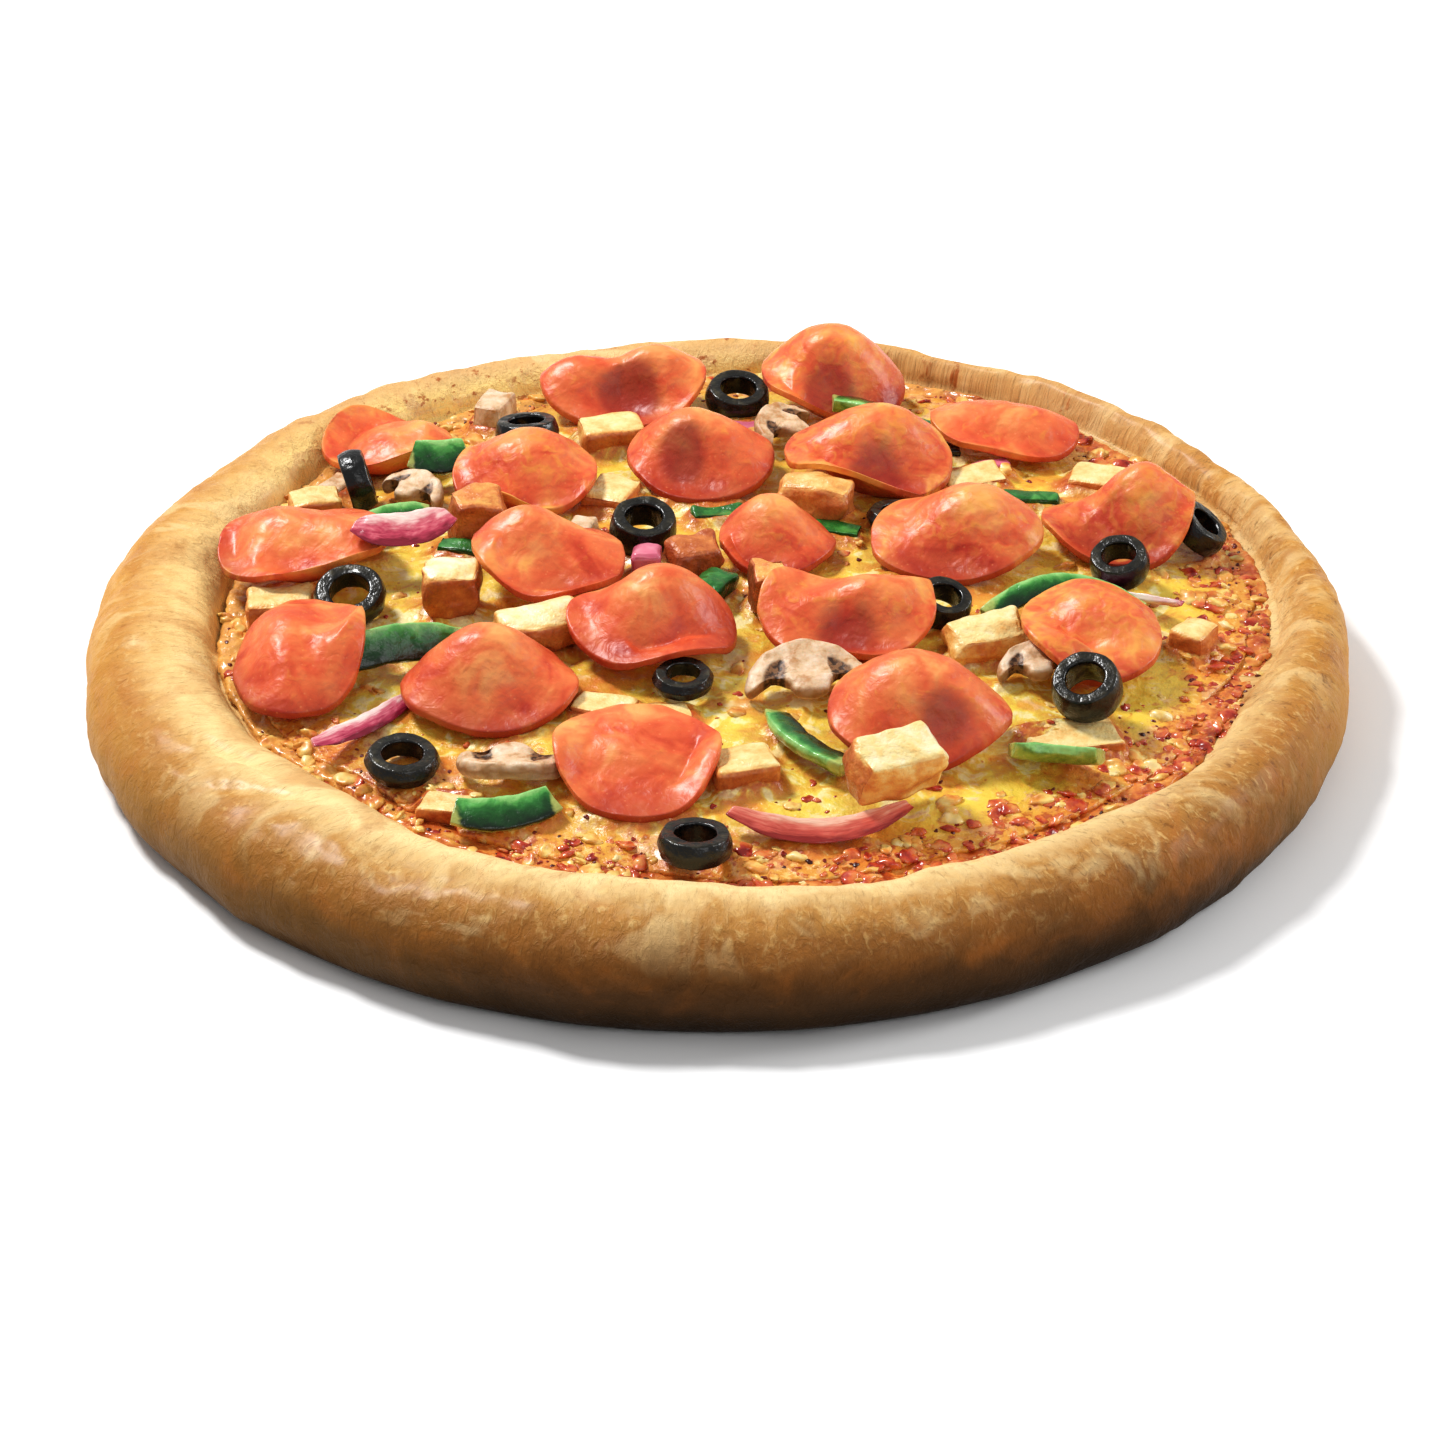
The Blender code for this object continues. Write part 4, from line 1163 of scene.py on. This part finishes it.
crumbs = {
    "seed": 7,
    "shapes": 3,
    "spacing": 3.1,            # between the shapes as they are made, so that each has its own lumps
    "lumps": ((0.70, 0.95), (0.24, 0.30)),
    "narrowest": 0.6,
    "tilt": 0.5,               # radians
    "sunk": 0.05,              # as a share of a crumb's size
    "highest": 0.0240,         # none lies higher up on the rim
    "margin": 0.002,
    "rightFront": Vector((0.78, -0.62)),
    # name, finish, how many, smallest and largest size, flatness, innermost share, lean to the right front
    "kinds": (
        ("tomatoLumps", "stewedTomato", 340, 0.0016, 0.0058, 0.42, 0.85, 0.55),
        ("bakedCurds", "bakedCurd", 360, 0.0014, 0.0060, 0.46, 0.82, -0.25),
        ("charredFlecks", "charredFleck", 230, 0.0007, 0.0018, 0.60, 0.80, 0.30),
        ("creamyCurds", "bakedCurd", 130, 0.0016, 0.0062, 0.42, 0.0, 0.0),
        ("toastedSpecks", "stewedTomato", 200, 0.0008, 0.0040, 0.40, 0.0, 0.30),
        ("pepperSpecks", "charredFleck", 90, 0.0006, 0.0015, 0.60, 0.0, 0.0),
    ),
    "slots": {"stewedTomato": "sauce", "bakedCurd": "cheese", "charredFleck": "sauce"},
}


def lumpPaint():
    inner = {"Subsurface_Weight": 0.15, "Subsurface_Scale": 0.002}
    paint = Paint("stewedTomato", Coat_Weight=0.45, Coat_Roughness=0.12, **inner)
    cloud = paint.cloud(paint.spot(), 260, detail=3)
    stewed = ((0.3, 134, 28, 18), (0.42, 186, 62, 40), (0.54, 216, 112, 60), (0.75, 240, 176, 104))
    return paint.finish(paint.ramp(cloud, stewed), 0.28, cloud, 0.0003)


def curdPaint():
    paint = Paint("bakedCurd", Coat_Weight=0.25, Coat_Roughness=0.2)
    cloud = paint.cloud(paint.spot(), 230, detail=3)
    toasted = ((0.3, 206, 112, 48), (0.46, 228, 164, 80), (0.60, 240, 208, 122), (0.8, 248, 232, 186))
    return paint.finish(paint.ramp(cloud, toasted), 0.38, cloud, 0.0003)


def fleckPaint():
    paint = Paint("charredFleck", Coat_Weight=0.2, Coat_Roughness=0.2)
    cloud = paint.cloud(paint.spot(), 300, detail=2)
    charred = ((0.35, 60, 14, 10), (0.55, 124, 26, 18), (0.75, 168, 50, 30))
    return paint.finish(paint.ramp(cloud, charred), 0.35, cloud, 0.0002)


def crumbShapes():             # each lump's points and faces, about one unit across
    shapes = []
    for index in range(crumbs["shapes"]):
        aside = Vector((crumbs["spacing"] * index, 0, 0))
        bpy.ops.mesh.primitive_ico_sphere_add(subdivisions=3, radius=0.5, location=aside)
        piece = bpy.context.object
        bpy.ops.object.transform_apply(location=True)
        roughen(piece, crumbs["lumps"])
        points = [point.co - aside for point in piece.data.vertices]
        shapes.append((points, [tuple(face.vertices) for face in piece.data.polygons]))
        bpy.data.objects.remove(piece)
    return shapes


def scatter(name, sizes, shapes, draw, ground, cover):
    count, small, large, flatness, innermost, lean = sizes
    edge = pizza["fillingRadius"] - crumbs["margin"]
    crowding = 0.6 if innermost else 0.5   # 0.5 spreads a full disc evenly
    points, faces = [], []
    placed = 0
    while placed < count:
        angle = draw.uniform(0, 2 * math.pi)
        share = innermost + (1.0 - innermost) * draw.random() ** crowding
        way = Vector((math.cos(angle), math.sin(angle)))
        if draw.random() > 1 - abs(lean) + lean * way.dot(crumbs["rightFront"]):
            continue
        x, y = pizza["fillingCentre"] + share * edge * way
        size = small + (large - small) * draw.random() ** 2
        shape, shapeFaces = shapes[draw.randrange(len(shapes))]
        spin = laidDown(draw.uniform(0, 2 * math.pi), draw.uniform(-crumbs["tilt"], crumbs["tilt"]))
        stretch = Matrix.Diagonal((size, size * draw.uniform(crumbs["narrowest"], 1.0), size * flatness))
        height = heightOn(ground, x, y)
        if height is None or height > crumbs["highest"] or (heightOn(cover, x, y) or 0) > height:
            continue
        base = len(points)
        place = Vector((x, y, height - crumbs["sunk"] * size))
        points += [spin @ (stretch @ p) + place for p in shape]
        faces += [tuple(base + i for i in face) for face in shapeFaces]
        placed += 1
    mesh = bpy.data.meshes.new(name)
    mesh.from_pydata(points, [], faces)
    piece = bpy.data.objects.new(name, mesh)
    bpy.context.scene.collection.objects.link(piece)
    return piece


def treeOf(pieces):
    whole = joinedCopy(pieces)
    tree = BVHTree.FromObject(whole, bpy.context.evaluated_depsgraph_get())
    bpy.data.objects.remove(whole)
    return tree


def makeCrumbs(grounds, toppings):
    ground, cover = treeOf(grounds), treeOf(toppings)
    draw = random.Random(crumbs["seed"])
    shapes = crumbShapes()
    finishes = {"stewedTomato": lumpPaint(), "bakedCurd": curdPaint(), "charredFleck": fleckPaint()}
    for name, finish, *sizes in crumbs["kinds"]:
        piece = scatter(name, sizes, shapes, draw, ground, cover)
        dress(piece, finishes[finish], crumbs["slots"][finish])
    print("crumbs done")


# Floor

floor = {"size": 30, "colour": (250, 250, 250), "mottle": 3.0}


def makeFloor():
    bpy.ops.mesh.primitive_plane_add(size=floor["size"])
    piece = bpy.context.object
    piece.name = "paleTable"
    paint = Paint("paleTable", Specular_IOR_Level=0.0)
    cloud = paint.cloud(paint.spot(), floor["mottle"], detail=1)
    colour = paint.mix(seen(*floor["colour"]), seen(255, 255, 255), cloud)
    piece.data.materials.append(paint.finish(colour, 0.9))
    piece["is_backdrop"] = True


def main():
    setCamera()
    setLamps()
    makeFloor()
    crustPiece = makeCrust()
    makePepperoni()
    materials = {
        "olive": makeOlives(),
        "mushroom": makeMushrooms(),
        "pepper": makePeppers(),
        "onion": makeOnions(),
        "chicken": makeChicken(),
    }
    makeBits(materials)
    nodes = set(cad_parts.values())
    toppings = [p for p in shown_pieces() if p not in nodes and p != crustPiece]
    cheesePiece = makeCheese(toppings)
    saucePiece = makeSauce()
    makeCrumbs([cheesePiece, saucePiece, crustPiece], toppings)


main()
